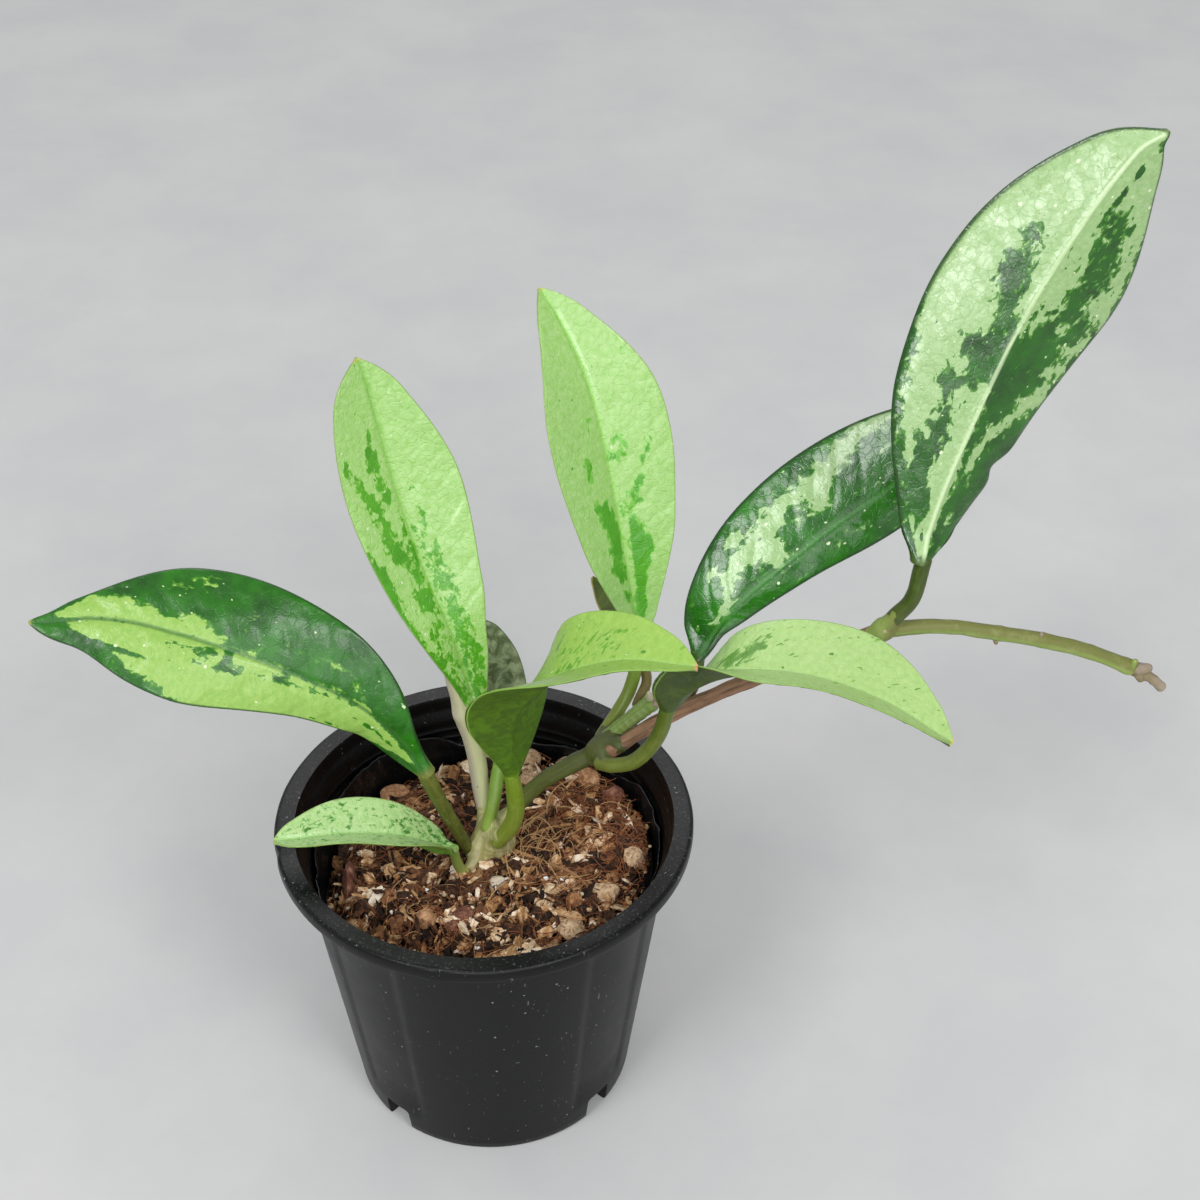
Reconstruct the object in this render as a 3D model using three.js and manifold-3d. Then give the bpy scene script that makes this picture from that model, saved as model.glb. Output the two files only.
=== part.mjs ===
// A hoya cutting in a small black nursery pot: thick splashed leaves on fleshy petioles, one vine
// that trails off to the right, and a bark and pumice potting mix inside a thin crinkled liner.
// Millimetres, +Z up. The origin is on the pot's axis, on the surface that the pot stands on.
// +X is the side that the vine trails to, and -Y is the front.
import * as THREE from "three";
import { mergeVertices } from "three/addons/utils/BufferGeometryUtils.js";
import Module from "manifold-3d";

const wasm = await Module();
wasm.setup();

// ---------------------------------------------------------------- driving dimensions
const POT_HEIGHT = 86;
const RIM_RADIUS = 53;
const RIM_BAND = 5.4; // width of the flat ring on top of the rim
const RIM_DROP = 3.8; // how far the lip hangs down outside
const BASE_RADIUS = 37;
const WALL_TAPER = 0.128; // radius gained per millimetre of height
const WALL = 1.4;
const FLOOR = 1.8;
const CHANNEL = { count: 4, width: 8, height: 8, reach: 20 }; // drain channels under the floor
const SLOT = { length: 8, width: 3.6 }; // through the roof of each channel
const PANEL = { halfAngle: 13, depth: 0.5, low: 12, high: 76 }; // shallow recess above each channel
const POT_SIDES = 64;

const LINER = { thickness: 0.5, gap: 0.35, low: 30, top: 74, crinkle: 2.2 };
const MIX = { level: 68.5, slope: 0.1, heap: 1.1, hollow: 7, gap: 0.3, shoulder: 60, rings: 6 };
const GAP = 0.35; // left between pieces that touch
const LEAF_THICKNESS = 1.3;

// ---------------------------------------------------------------- colours
const looks = {
  pot: { color: 0x17181b, roughness: 0.5 },
  liner: { color: 0x0e0f12, roughness: 0.35 },
  mix: { color: 0x5a3a26, roughness: 0.95 },
  bark: { color: 0x7a5138, roughness: 0.9 },
  pumice: { color: 0xc9ab85, roughness: 0.95 },
  root: { color: 0xa8845c, roughness: 0.8 },
  stem: { color: 0x7e8f4d, roughness: 0.5 },
  woody: { color: 0x8a6547, roughness: 0.8 },
  petiole: { color: 0x5c8a1f, roughness: 0.4 },
  youngLeaf: { color: 0x8fc85a, roughness: 0.35 },
  oldLeaf: { color: 0x1f6a24, roughness: 0.25 },
};

const group = new THREE.Group();

/** Adds one named sub-part to the object. */
function addPart(name, geometry, look) {
  const mesh = new THREE.Mesh(geometry, new THREE.MeshStandardMaterial({ ...look, metalness: 0 }));
  mesh.name = name;
  group.add(mesh);
  return mesh;
}

// ---------------------------------------------------------------- shape helpers
const vec = (p) => new THREE.Vector3(...p);

/** Moves every vertex of a geometry to where `place` puts it. */
function shaped(geometry, place) {
  const position = geometry.getAttribute("position");
  const point = new THREE.Vector3();
  for (let i = 0; i < position.count; i++) {
    place(point.fromBufferAttribute(position, i));
    position.setXYZ(i, point.x, point.y, point.z);
  }
  return geometry;
}

/** A three.js geometry as a manifold-3d solid. */
function solidOf(geometry) {
  const bare = geometry.index ? geometry.toNonIndexed() : geometry.clone();
  bare.deleteAttribute("normal");
  bare.deleteAttribute("uv");
  const merged = mergeVertices(bare, 1e-3);
  const vertProperties = new Float32Array(merged.getAttribute("position").array);
  const triVerts = new Uint32Array(merged.index.array);
  return new wasm.Manifold(new wasm.Mesh({ numProp: 3, vertProperties, triVerts }));
}

/** A manifold-3d solid as a three.js geometry. */
function geometryOf(solid) {
  const mesh = solid.getMesh();
  return new THREE.BufferGeometry()
    .setAttribute("position", new THREE.BufferAttribute(new Float32Array(mesh.vertProperties), 3))
    .setIndex(new THREE.BufferAttribute(new Uint32Array(mesh.triVerts), 1));
}

/** A solid turned about +Z from a closed outline of [radius, height] points. */
function turned(outline, sides) {
  const profile = outline.map(([r, z]) => new THREE.Vector2(r, z));
  return new THREE.LatheGeometry(profile, sides).rotateX(Math.PI / 2);
}

const clamp01 = (x) => Math.min(1, Math.max(0, x));
const smooth = (low, high, x) => {
  const t = clamp01((x - low) / (high - low));
  return t * t * (3 - 2 * t);
};

// ---------------------------------------------------------------- pot
const wallRadius = (z) => BASE_RADIUS + WALL_TAPER * z;
const channelAngles = Array.from({ length: CHANNEL.count }, (_, i) => 45 + (i * 360) / CHANNEL.count);

/** Degrees from the nearest drain channel. */
function fromChannel(x, y) {
  const pitch = 360 / CHANNEL.count;
  const angle = (THREE.MathUtils.radToDeg(Math.atan2(y, x)) + 720 - channelAngles[0]) % pitch;
  return Math.min(angle, pitch - angle);
}

/** A block along one drain channel, grown by `extra` on each side and on top. */
function channelBlock(angle, extra, inner, outer) {
  const length = outer - inner + extra;
  const height = CHANNEL.height + extra;
  const block = new THREE.BoxGeometry(length, CHANNEL.width + 2 * extra, height + 1);
  block.translate(inner - extra + length / 2, 0, (height - 1) / 2);
  return block.rotateZ(THREE.MathUtils.degToRad(angle));
}

function potGeometry() {
  const neck = POT_HEIGHT - RIM_DROP;
  const mouth = RIM_RADIUS - RIM_BAND;
  const outside = [
    [0, 0],
    [BASE_RADIUS - 1, 0],
    [wallRadius(2), 2],
    [wallRadius(PANEL.low), PANEL.low],
    [wallRadius(PANEL.high), PANEL.high],
    [wallRadius(neck), neck],
    [RIM_RADIUS - 0.6, neck],
    [RIM_RADIUS, neck + 0.8],
    [RIM_RADIUS, POT_HEIGHT - 1],
    [RIM_RADIUS - 1, POT_HEIGHT],
    [0, POT_HEIGHT],
  ];
  const hollow = [
    [0, FLOOR],
    [wallRadius(FLOOR) - WALL, FLOOR],
    [wallRadius(neck - 4) - WALL, neck - 4],
    [mouth - 0.6, neck - 1],
    [mouth, POT_HEIGHT - 1],
    [mouth, POT_HEIGHT + 1],
    [0, POT_HEIGHT + 1],
  ];
  const shell = shaped(turned(outside, POT_SIDES), (p) => {
    const onWall = p.z > PANEL.low - 0.1 && p.z < PANEL.high + 0.1;
    if (!onWall) return;
    const inPanel = 1 - smooth(PANEL.halfAngle, PANEL.halfAngle + 2, fromChannel(p.x, p.y));
    const inward = 1 - (PANEL.depth * inPanel) / Math.hypot(p.x, p.y);
    p.set(p.x * inward, p.y * inward, p.z);
  });
  let cavity = solidOf(turned(hollow, POT_SIDES));
  let pot = solidOf(shell);
  for (const angle of channelAngles) {
    cavity = cavity.subtract(solidOf(channelBlock(angle, WALL, CHANNEL.reach, RIM_RADIUS)));
  }
  pot = pot.subtract(cavity);
  for (const angle of channelAngles) {
    pot = pot.subtract(solidOf(channelBlock(angle, 0, CHANNEL.reach, RIM_RADIUS)));
    pot = pot.subtract(solidOf(drainSlot(angle)));
  }
  return geometryOf(pot);
}

/** The slot that lets water through the roof of a drain channel. */
function drainSlot(angle) {
  const slot = new THREE.BoxGeometry(SLOT.length, SLOT.width, CHANNEL.height);
  slot.translate(CHANNEL.reach + SLOT.length, 0, CHANNEL.height);
  return slot.rotateZ(THREE.MathUtils.degToRad(angle));
}

// ---------------------------------------------------------------- liner and potting mix
/** Height of the liner's crinkled edge at an angle in radians. */
function linerEdge(angle) {
  const fold = Math.sin(3 * angle + 0.8) + 0.6 * Math.sin(7 * angle) + 0.4 * Math.sin(13 * angle + 2);
  return LINER.top + LINER.crinkle * fold;
}

const linerRadius = (z) => wallRadius(z) - WALL - LINER.gap;

function linerGeometry() {
  const { thickness, low } = LINER;
  const outline = [
    [linerRadius(low) - thickness, low],
    [linerRadius(low), low],
    [linerRadius(LINER.top), LINER.top],
    [linerRadius(LINER.top) - thickness, LINER.top],
    [linerRadius(low) - thickness, low],
  ];
  return shaped(turned(outline, 48), (p) => {
    if (p.z < LINER.top - 1) return;
    const edge = linerEdge(Math.atan2(p.y, p.x));
    const r = Math.hypot(p.x, p.y);
    const grown = r + WALL_TAPER * (edge - LINER.top);
    p.set((p.x / r) * grown, (p.y / r) * grown, edge);
  });
}

/** Height of the potting mix: it is heaped to the right, and has a hollow against the left wall. */
function mixHeight(x, y) {
  const hollow = MIX.hollow * smooth(26, 42, Math.hypot(x + 6, y - 6)) * smooth(8, -30, x);
  const heap = MIX.heap * Math.sin(0.19 * x + 1) * Math.cos(0.16 * y);
  return MIX.level + MIX.slope * x + heap - hollow;
}

function mixGeometry(pockets) {
  const mixRadius = (z) => linerRadius(z) - LINER.thickness - MIX.gap;
  const bottom = FLOOR + MIX.gap;
  const edge = mixRadius(MIX.shoulder);
  const outline = [
    [0, bottom],
    [wallRadius(bottom) - WALL - 2 * MIX.gap - LINER.thickness, bottom],
    [mixRadius(LINER.low), LINER.low],
    [edge, MIX.shoulder],
  ];
  const top = MIX.shoulder + 1;
  for (let ring = MIX.rings; ring >= 0; ring--) outline.push([(edge * ring) / MIX.rings, top]);
  const body = shaped(turned(outline, 36), (p) => {
    if (p.z > MIX.shoulder + 0.5) p.z = mixHeight(p.x, p.y);
  });
  let mix = solidOf(body);
  for (const angle of channelAngles) {
    mix = mix.subtract(solidOf(channelBlock(angle, WALL + MIX.gap, CHANNEL.reach, RIM_RADIUS)));
  }
  for (const pocket of pockets) mix = mix.subtract(solidOf(pocket));
  return geometryOf(mix);
}

// ---------------------------------------------------------------- stems and petioles
/** A tapered round stem along a smooth curve through `points`, with one radius per point. */
function stemGeometry({ points, radii, grow = 0 }, sides = 8, steps = 10) {
  const curve = new THREE.CatmullRomCurve3(points.map(vec), false, "centripetal");
  const depth = new THREE.Vector3(0.12, 1, 0.08).normalize();
  return shaped(new THREE.CylinderGeometry(1, 1, 1, sides, steps), (p) => {
    const t = clamp01(p.y + 0.5);
    const tangent = curve.getTangent(t);
    const across = new THREE.Vector3().crossVectors(tangent, depth).normalize();
    const other = new THREE.Vector3().crossVectors(across, tangent);
    const place = t * (radii.length - 1);
    const i = Math.min(Math.floor(place), radii.length - 2);
    const radius = THREE.MathUtils.lerp(radii[i], radii[i + 1], place - i) + grow;
    const centre = curve.getPoint(t).addScaledVector(tangent, grow * 2 * (t - 0.5));
    const { x, z } = p;
    p.copy(centre).addScaledVector(across, radius * x).addScaledVector(other, radius * z);
  });
}

// Every stem's points run from where it starts to where it ends.
const stems = {
  root_crown: {
    look: "stem",
    points: [[2, 5, 56], [2.5, 5, 66], [2.5, 5, 73], [1.5, 6, 79]],
    radii: [3, 5, 5.2, 3.4],
  },
  shoot_stem: {
    look: "stem",
    points: [[0.2, 7.8, 79.8], [-0.6, 9.2, 86.8], [-1.7, 11, 99.3], [-3.9, 12, 109.9], [-7, 15, 126]],
    radii: [2, 2.2, 2.4, 2.4, 2.2],
  },
  vine_lower: {
    look: "stem",
    points: [[7.6, 6.4, 81.6], [14.5, 6.2, 90.1], [20.8, 5.2, 95.7], [28.6, 4.3, 101.2]],
    radii: [2.1, 2.1, 2.2, 3],
  },
  side_shoot: {
    look: "petiole",
    points: [[32.5, 6.2, 105.4], [37.3, 5.7, 110.5], [43, 6, 115.8]],
    radii: [2, 2, 2],
  },
  vine_woody: {
    look: "woody",
    points: [[32.6, 1.4, 104.6], [43.1, 2, 112], [56.5, 1.4, 120.1], [78, 1, 130.4], [95.4, 0.5, 138.3]],
    radii: [1.8, 1.85, 1.85, 1.85, 2.1],
  },
  vine_upper: {
    look: "stem",
    points: [
      [97.6, 0, 139.6], [111.3, 0, 139.8], [123.9, 0.3, 137],
      [136.9, 1, 133.2], [150.1, 1.4, 128.3], [162, 2, 121.8],
    ],
    radii: [2.1, 1.75, 1.8, 1.85, 1.85, 1.85],
  },
  vine_tip: {
    look: "woody",
    points: [[162.8, 2, 121.5], [167, 2, 118.6], [171, 2, 114.6]],
    radii: [1.9, 1.1, 1],
  },
};

const petioles = {
  petiole_a: {
    points: [[-4, 2, 70.9], [-7.4, 0.8, 81.2], [-11, -0.8, 92.3], [-13.9, -2, 102.4]],
    radii: [1.5, 1.75, 1.9, 2.05],
  },
  petiole_b: {
    points: [[-5.2, -2.6, 67.9], [-6.9, -3, 70.6], [-7.8, -4, 74.9], [-8.2, -5, 78.4]],
    radii: [1.3, 1.4, 1.3, 1.3],
  },
  petiole_c: {
    points: [[-0.6, 8.4, 108], [-0.4, 6.6, 111], [-0.6, 5.6, 114.4]],
    radii: [1.3, 1.7, 1.6],
  },
  petiole_d: {
    points: [[0.9, 3, 80.6], [2.6, 4.8, 86.4], [3.8, 7.6, 92.4], [5.5, 11, 98.6]],
    radii: [1.6, 1.75, 1.75, 1.6],
  },
  petiole_e: {
    points: [
      [31.1, 9.6, 103.4], [34.9, 10.8, 109.4], [37.8, 12.5, 114.6],
      [39.9, 13.8, 124.3], [40.3, 14, 128.1],
    ],
    radii: [1.6, 1.65, 1.65, 1.65, 1.65],
  },
  petiole_f: {
    points: [[40.1, 9.6, 113.9], [42.1, 13, 116.8], [40, 20, 121.6]],
    radii: [1.4, 1.3, 1.2],
  },
  petiole_g: {
    points: [[3.6, -1.5, 78.8], [6, -2.7, 83.1], [7.8, -4, 90.2], [7.6, -5.2, 98.8], [6.9, -6, 104.9]],
    radii: [2.1, 2.2, 2.2, 2.1, 1.95],
  },
  petiole_h: {
    points: [
      [29.5, -1.6, 102.8], [32.2, -4.2, 104.3], [36.9, -6.6, 107.3],
      [40.9, -8, 113.1], [43.3, -9.2, 119.5], [44.5, -10, 126.1],
    ],
    radii: [1.8, 1.9, 1.9, 1.9, 1.9, 1.95],
  },
  petiole_i: {
    points: [[52, 5.1, 118.6], [53.6, 7, 121], [54.3, 8, 126.5]],
    radii: [1.5, 1.5, 1.5],
  },
  petiole_j: {
    points: [[100, -1, 144.6], [103, -2, 150], [104.6, -2, 160.6]],
    radii: [2.1, 1.9, 2],
  },
};

// ---------------------------------------------------------------- leaves
// spine: the midrib from base to tip. face and faceTip: which way the upper side looks at each end,
// turning over the first `settle` of the length. right and left: half-widths seen from above with
// the tip ahead, at 0.1, 0.35, 0.65 and 0.9 of the length. fold: how steeply the two halves rise
// from the midrib, as a slope. cup: how far the margins roll up (or down) at the widest place.
const leaves = {
  leaf_a: {
    spine: [[-14, -2, 104], [-27, -1, 123], [-47.5, 0, 137.5], [-68, 2, 146], [-103.5, 5, 150.5]],
    face: [-0.55, -0.62, 0.55], faceTip: [0.1, -0.62, 0.78], settle: 1,
    right: [4.5, 15.5, 17.5, 7], left: [7, 9.5, 15, 6], fold: 0.12, cup: -4, old: true,
  },
  leaf_b: {
    spine: [[-8.6, -5.2, 79.8], [-20, -8, 88], [-33, -10, 92], [-51.5, -14, 94.5]],
    face: [-0.4, 0, 1], faceTip: [0.05, -0.1, 1], settle: 1,
    right: [5.5, 8, 8, 4], left: [5, 8.5, 6.5, 4.5], fold: 0.5, cup: 0,
  },
  leaf_c: {
    spine: [[-0.6, 5.4, 116], [-6, 9, 139], [-11.5, 14, 153.5], [-18, 20.5, 175], [-23.8, 26.3, 204.8]],
    face: [0.3, -0.85, 0.44], faceTip: [0.3, -0.8, 0.5], settle: 1,
    right: [5, 11.5, 15, 7.5], left: [4, 10.4, 13, 9], fold: 0.34, cup: 0,
  },
  leaf_d: {
    spine: [[6.2, 11.4, 100.6], [5.6, 15, 110], [4, 19, 120], [1.6, 23.5, 130.5]],
    face: [0.3, 0.85, -0.4], faceTip: [0.3, 0.85, -0.4], settle: 1,
    right: [4.5, 7, 7, 4], left: [4.5, 7, 7, 4], fold: 0.1, cup: 0,
  },
  leaf_e: {
    spine: [[40.4, 14, 129], [38, 17, 145.5], [32.5, 24, 173], [26, 31.5, 196.5], [18.6, 39.5, 213.8]],
    face: [0.42, -0.8, 0.44], faceTip: [0.42, -0.76, 0.5], settle: 1,
    right: [5.5, 13.5, 16.5, 7], left: [5.4, 13.4, 15.2, 5.6], fold: 0.4, cup: 0,
  },
  leaf_f: {
    spine: [[39.2, 21, 122.4], [35.5, 25, 129.5], [29.5, 30, 137]],
    face: [-0.6, 0.7, 0.3], faceTip: [-0.6, 0.7, 0.3], settle: 1,
    right: [2.4, 3.7, 3.2, 1.3], left: [2.4, 3.7, 3.2, 1.3], fold: 0.2, cup: 0,
  },
  leaf_g: {
    spine: [
      [7, -6, 106.2], [6.4, -8, 119.4], [8.6, -11, 131.5],
      [17, -15, 142.6], [33, -19, 150], [49.5, -24, 151],
    ],
    face: [-0.52, 0.82, 0.1], faceTip: [0.1, 0, 1], settle: 0.7,
    right: [6, 11.5, 12.5, 6.5], left: [11, 13, 14, 7], fold: 0.4, cup: 0,
  },
  leaf_h: {
    spine: [
      [44.8, -10, 127.6], [48.2, -12, 135.5], [56, -14.5, 141.5],
      [75, -19, 143], [92, -26, 140], [108, -33, 132],
    ],
    face: [-0.45, 0.85, 0.3], faceTip: [0.3, 0.05, 1], settle: 0.4,
    right: [8, 12.5, 13, 6.5], left: [8.5, 12.5, 16, 7.5], fold: 0.4, cup: 0,
  },
  leaf_i: {
    spine: [
      [54.3, 8, 127.8], [61.5, 11, 138], [80.5, 18.5, 151],
      [101.5, 25, 163.5], [124.5, 30, 180],
    ],
    face: [-0.25, -0.85, 0.45], faceTip: [-0.2, -0.85, 0.45], settle: 1,
    right: [3.5, 6.5, 10, 6.5], left: [10, 18, 18.5, 11], fold: -0.15, cup: -2, old: true,
  },
  leaf_j: {
    spine: [
      [103.8, -2, 162], [108.5, 1, 179], [121.5, 8, 211],
      [133.5, 11.5, 233], [150, 15, 259.5],
    ],
    face: [0.28, -0.82, 0.5], faceTip: [0.28, -0.82, 0.5], settle: 1,
    right: [9.5, 16.5, 21, 8.5], left: [8, 19.5, 21.5, 11.5], fold: -0.2, cup: -2.5, old: true,
  },
};

const BASE_HALF = 1.6; // half-width of a blade where its petiole joins
const TIP_HALF = 0.5;

function leafGeometry({ spine, face, faceTip, settle, right, left, fold, cup }, along = 14, across = 4) {
  const curve = new THREE.CatmullRomCurve3(spine.map(vec), false, "centripetal");
  const margin = (widths) => {
    const halves = [BASE_HALF, ...widths, TIP_HALF];
    return new THREE.SplineCurve(halves.map((half, i) => new THREE.Vector2(i, half)));
  };
  const margins = { right: margin(right), left: margin(left) };
  const widest = Math.max(...right, ...left);
  return shaped(new THREE.BoxGeometry(1, 1, 1, across, 1, along), (p) => {
    const station = clamp01(0.5 - p.z);
    const t = (1 - Math.cos(Math.PI * station)) / 2; // closer together towards both ends
    const side = 2 * p.x;
    const under = p.y < 0;
    const tangent = curve.getTangentAt(t);
    const up = vec(face).lerp(vec(faceTip), smooth(0, settle, t));
    up.addScaledVector(tangent, -up.dot(tangent)).normalize();
    const out = new THREE.Vector3().crossVectors(tangent, up);
    const half = (side > 0 ? margins.right : margins.left).getPoint(station).y;
    const lift = half * fold * Math.abs(side) + cup * (half / widest) * side * side;
    const depth = under ? LEAF_THICKNESS * (1 - 0.45 * side * side) : 0;
    p.copy(curve.getPointAt(t)).addScaledVector(out, half * side).addScaledVector(up, lift - depth);
  });
}

// ---------------------------------------------------------------- loose chunks and roots on the mix
// at: [x, y]. size: [length, width, thickness] radii. turn: degrees about +Z.
const chunks = {
  pumice_right: { at: [37.5, -6], size: [2.8, 3.4, 2.6], turn: 20, look: "pumice" },
  pumice_front_right: { at: [30, -16], size: [3.6, 3.2, 2.6], turn: -20, look: "pumice" },
  pumice_front: { at: [20, -27.5], size: [3.4, 2.8, 2.4], turn: 10, look: "pumice" },
  pumice_back: { at: [13, 36], size: [3, 3, 3.4], turn: 0, look: "pumice" },
  pumice_back_small: { at: [12.5, 28.5], size: [3, 2.4, 2.6], turn: 40, look: "pumice" },
  bark_under_vine: { at: [28, 26], size: [3.6, 2.8, 2.8], turn: -30, look: "bark" },
  bark_red: { at: [34, 19], size: [3.2, 3.2, 2.8], turn: 15, look: "bark" },
  bark_left_chip: { at: [-35.5, -1], size: [1.8, 4.2, 5], turn: -10, look: "bark" },
  bark_back_left: { at: [-23, 30], size: [4.6, 3, 2.6], turn: -10, look: "bark" },
  bark_front_flake: { at: [-7.5, -19], size: [4.4, 3.2, 1.6], turn: 60, look: "bark" },
  bark_pale_front: { at: [-15.5, -18], size: [2.8, 2.6, 2.2], turn: 0, look: "bark" },
  perlite_bead: { at: [2.2, -7.6], size: [2.2, 1.7, 1.6], turn: 0, look: "pumice" },
};

function chunkGeometry({ at, size, turn }, grow = 0) {
  const [x, y] = at;
  const z = mixHeight(x, y) + 0.35 * size[2];
  const seed = x * 1.7 + y * 2.3;
  const lump = (p) => {
    const wide = Math.sin(seed + 5 * p.x + 3 * p.y);
    const tall = Math.sin(2 * seed + 4 * p.z - 5 * p.y);
    return 1 + 0.12 * wide + 0.1 * tall;
  };
  return shaped(new THREE.IcosahedronGeometry(1, 1), (p) => {
    const swell = lump(p);
    p.set(p.x * (size[0] * swell + grow), p.y * (size[1] * swell + grow), p.z * (size[2] * swell + grow));
  })
    .rotateZ(THREE.MathUtils.degToRad(turn))
    .translate(x, y, z);
}

// Surface roots: [x, y] points, lying on the mix.
const roots = {
  root_front_right: { route: [[9.5, 0], [15, -3], [22, -9], [26, -16]], radius: 0.6 },
  root_right: { route: [[10, 6], [17, 9], [25, 9], [33, 5]], radius: 0.55 },
  root_right_far: { route: [[11, 11], [17, 15], [23, 15], [30, 14]], radius: 0.5 },
  root_front: { route: [[5, -3.4], [8, -10], [7, -16], [12, -24]], radius: 0.5 },
};

function rootGeometry({ route, radius }) {
  const points = route.map(([x, y]) => [x, y, mixHeight(x, y) + radius + 0.9]);
  return stemGeometry({ points, radii: [radius, radius * 0.8, radius * 0.5] }, 6, 8);
}

// ---------------------------------------------------------------- assembly
addPart("pot", potGeometry(), looks.pot);
addPart("inner_liner", linerGeometry(), looks.liner);

const buried = [stems.root_crown, petioles.petiole_a, petioles.petiole_b];
const pockets = [
  ...buried.map((spec) => stemGeometry({ ...spec, grow: GAP })),
  ...Object.values(chunks).map((spec) => chunkGeometry(spec, GAP)),
];
addPart("potting_mix", mixGeometry(pockets), looks.mix);

for (const [name, spec] of Object.entries(stems)) addPart(name, stemGeometry(spec), looks[spec.look]);
for (const [name, spec] of Object.entries(petioles)) addPart(name, stemGeometry(spec), looks.petiole);
for (const [name, spec] of Object.entries(leaves)) {
  addPart(name, leafGeometry(spec), spec.old ? looks.oldLeaf : looks.youngLeaf);
}
for (const [name, spec] of Object.entries(chunks)) addPart(name, chunkGeometry(spec), looks[spec.look]);
for (const [name, spec] of Object.entries(roots)) addPart(name, rootGeometry(spec), looks.root);

export default group;
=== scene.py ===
"""A potted hoya cutting: splashed leaves on fleshy petioles, one trailing vine, a small black pot.

Lengths are millimetres, turned to metres when a mesh is made. +Z is up, +X is the side that the
vine trails to and -Y is the front.
"""
import logging
import math
import random
from collections.abc import Callable, Sequence
from dataclasses import dataclass
from enum import Enum
from functools import partial

import bmesh
import bpy
import numpy as np
from mathutils import Matrix, Vector, noise


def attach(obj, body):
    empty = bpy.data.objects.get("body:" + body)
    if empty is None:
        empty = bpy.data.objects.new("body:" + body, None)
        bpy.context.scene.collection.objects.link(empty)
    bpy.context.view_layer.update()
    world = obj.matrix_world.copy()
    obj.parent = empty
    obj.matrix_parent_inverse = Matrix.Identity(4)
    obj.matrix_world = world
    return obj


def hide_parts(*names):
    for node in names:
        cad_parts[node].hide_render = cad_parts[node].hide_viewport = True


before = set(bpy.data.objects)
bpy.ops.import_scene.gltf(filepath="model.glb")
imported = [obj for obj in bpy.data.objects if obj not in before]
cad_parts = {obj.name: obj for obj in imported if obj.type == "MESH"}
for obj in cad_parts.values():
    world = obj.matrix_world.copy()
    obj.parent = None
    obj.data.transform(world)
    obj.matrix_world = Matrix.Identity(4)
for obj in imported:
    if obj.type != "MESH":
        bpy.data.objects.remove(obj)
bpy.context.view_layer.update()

log = logging.getLogger("potted_hoya")

MM = 0.001
METRE = 1000  # millimetres; METRE / x is the scale of a pattern that is x millimetres wide
FULL_TURN = 2 * math.pi
MERGE = 1e-7  # metres, joins the seams of a mapped grid

Point = tuple[float, float, float]
Array = np.ndarray
Mesh = bpy.types.Mesh
Piece = bpy.types.Object
Source = bpy.types.NodeSocket | bpy.types.Node  # what a node's input takes its value from
Adder = Callable[..., bpy.types.Node]  # add_node for one material


# ------------------------------------------------------------------ small helpers
def linear(code: str) -> tuple[float, float, float, float]:
    """Turns an sRGB hex colour to linear light.

    Args:
        code: the colour, such as "#7a5138".

    Returns:
        Red, green, blue and an alpha of 1.
    """
    channels = [int(code[i : i + 2], 16) / 255 for i in (1, 3, 5)]
    return tuple(c / 12.92 if c <= 0.04045 else ((c + 0.055) / 1.055) ** 2.4 for c in channels) + (1.0,)


def smooth(low: float, high: float, x: Array | float) -> Array | float:
    """An even S-shaped step from 0 at low to 1 at high."""
    t = np.clip((x - low) / (high - low), 0, 1)
    return t * t * (3 - 2 * t)


def rough(points: Array, size: float, seed: float = 0.0) -> Array:
    """Even noise at each point.

    Args:
        points: an N by 3 array, in millimetres.
        size: the width of one bump, in millimetres.
        seed: moves the pattern, so that pieces differ.

    Returns:
        N values from about -1 to 1.
    """
    shift = Vector((seed * 3.7, seed * 1.9, seed * 2.3))
    return np.array([noise.noise(Vector(p) / size + shift) for p in points])


MIX_A, MIX_B, MIX_OUT = 6, 7, 2  # the colour sockets of a Mix node


def main_output(source: Source) -> bpy.types.NodeSocket:
    """The output that a node is mostly used for, or the output itself where one is given."""
    if isinstance(source, bpy.types.NodeSocket):
        return source
    return source.outputs[MIX_OUT if source.bl_idname == "ShaderNodeMix" else 0]


def add_node(
    tree: bpy.types.NodeTree, kind: str, values: dict | None = None, links: dict | None = None,
    stops: Sequence[tuple[float, str]] = (), **properties: object,
) -> bpy.types.Node:
    """Adds one node to a material.

    Args:
        tree: the material's nodes.
        kind: the node's type, without "ShaderNode".
        values: input sockets, by name or number, and what they are set to. A colour is a hex code.
        links: input sockets, by name or number, and the output that each takes. A node gives its
            main output: the colour of a Mix node, or else its first.
        stops: places and hex colours of a colour ramp.
        properties: the node's own settings.

    Returns:
        The node.
    """
    node = tree.nodes.new("ShaderNode" + kind)
    for name, value in properties.items():
        setattr(node, name, value)
    for name, value in (values or {}).items():
        node.inputs[name].default_value = linear(value) if isinstance(value, str) else value
    for name, source in (links or {}).items():
        tree.links.new(main_output(source), node.inputs[name])
    if stops:
        elements = node.color_ramp.elements
        while len(elements) < len(stops):
            elements.new(0.5)
        for element, (place, code) in zip(elements, stops):
            element.position = place
            element.color = linear(code)
    return node


def new_material(name: str) -> tuple[bpy.types.Material, Adder, bpy.types.Node]:
    """Starts a material.

    Args:
        name: the material's name.

    Returns:
        The material, add_node for it, and its Principled shader.
    """
    material = bpy.data.materials.new(name)
    material.use_nodes = True
    tree = material.node_tree
    return material, partial(add_node, tree), tree.nodes["Principled BSDF"]


def set_shader(shader: bpy.types.Node, links: dict[str, Source], **values: float) -> None:
    """Feeds a Principled shader.

    Args:
        shader: the shader.
        links: input sockets by name, and what each takes.
        values: input sockets by name, with underscores for the spaces, and what they are set to.
    """
    for name, source in links.items():
        shader.id_data.links.new(main_output(source), shader.inputs[name])
    for name, value in values.items():
        shader.inputs[name.replace("_", " ")].default_value = value


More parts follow.
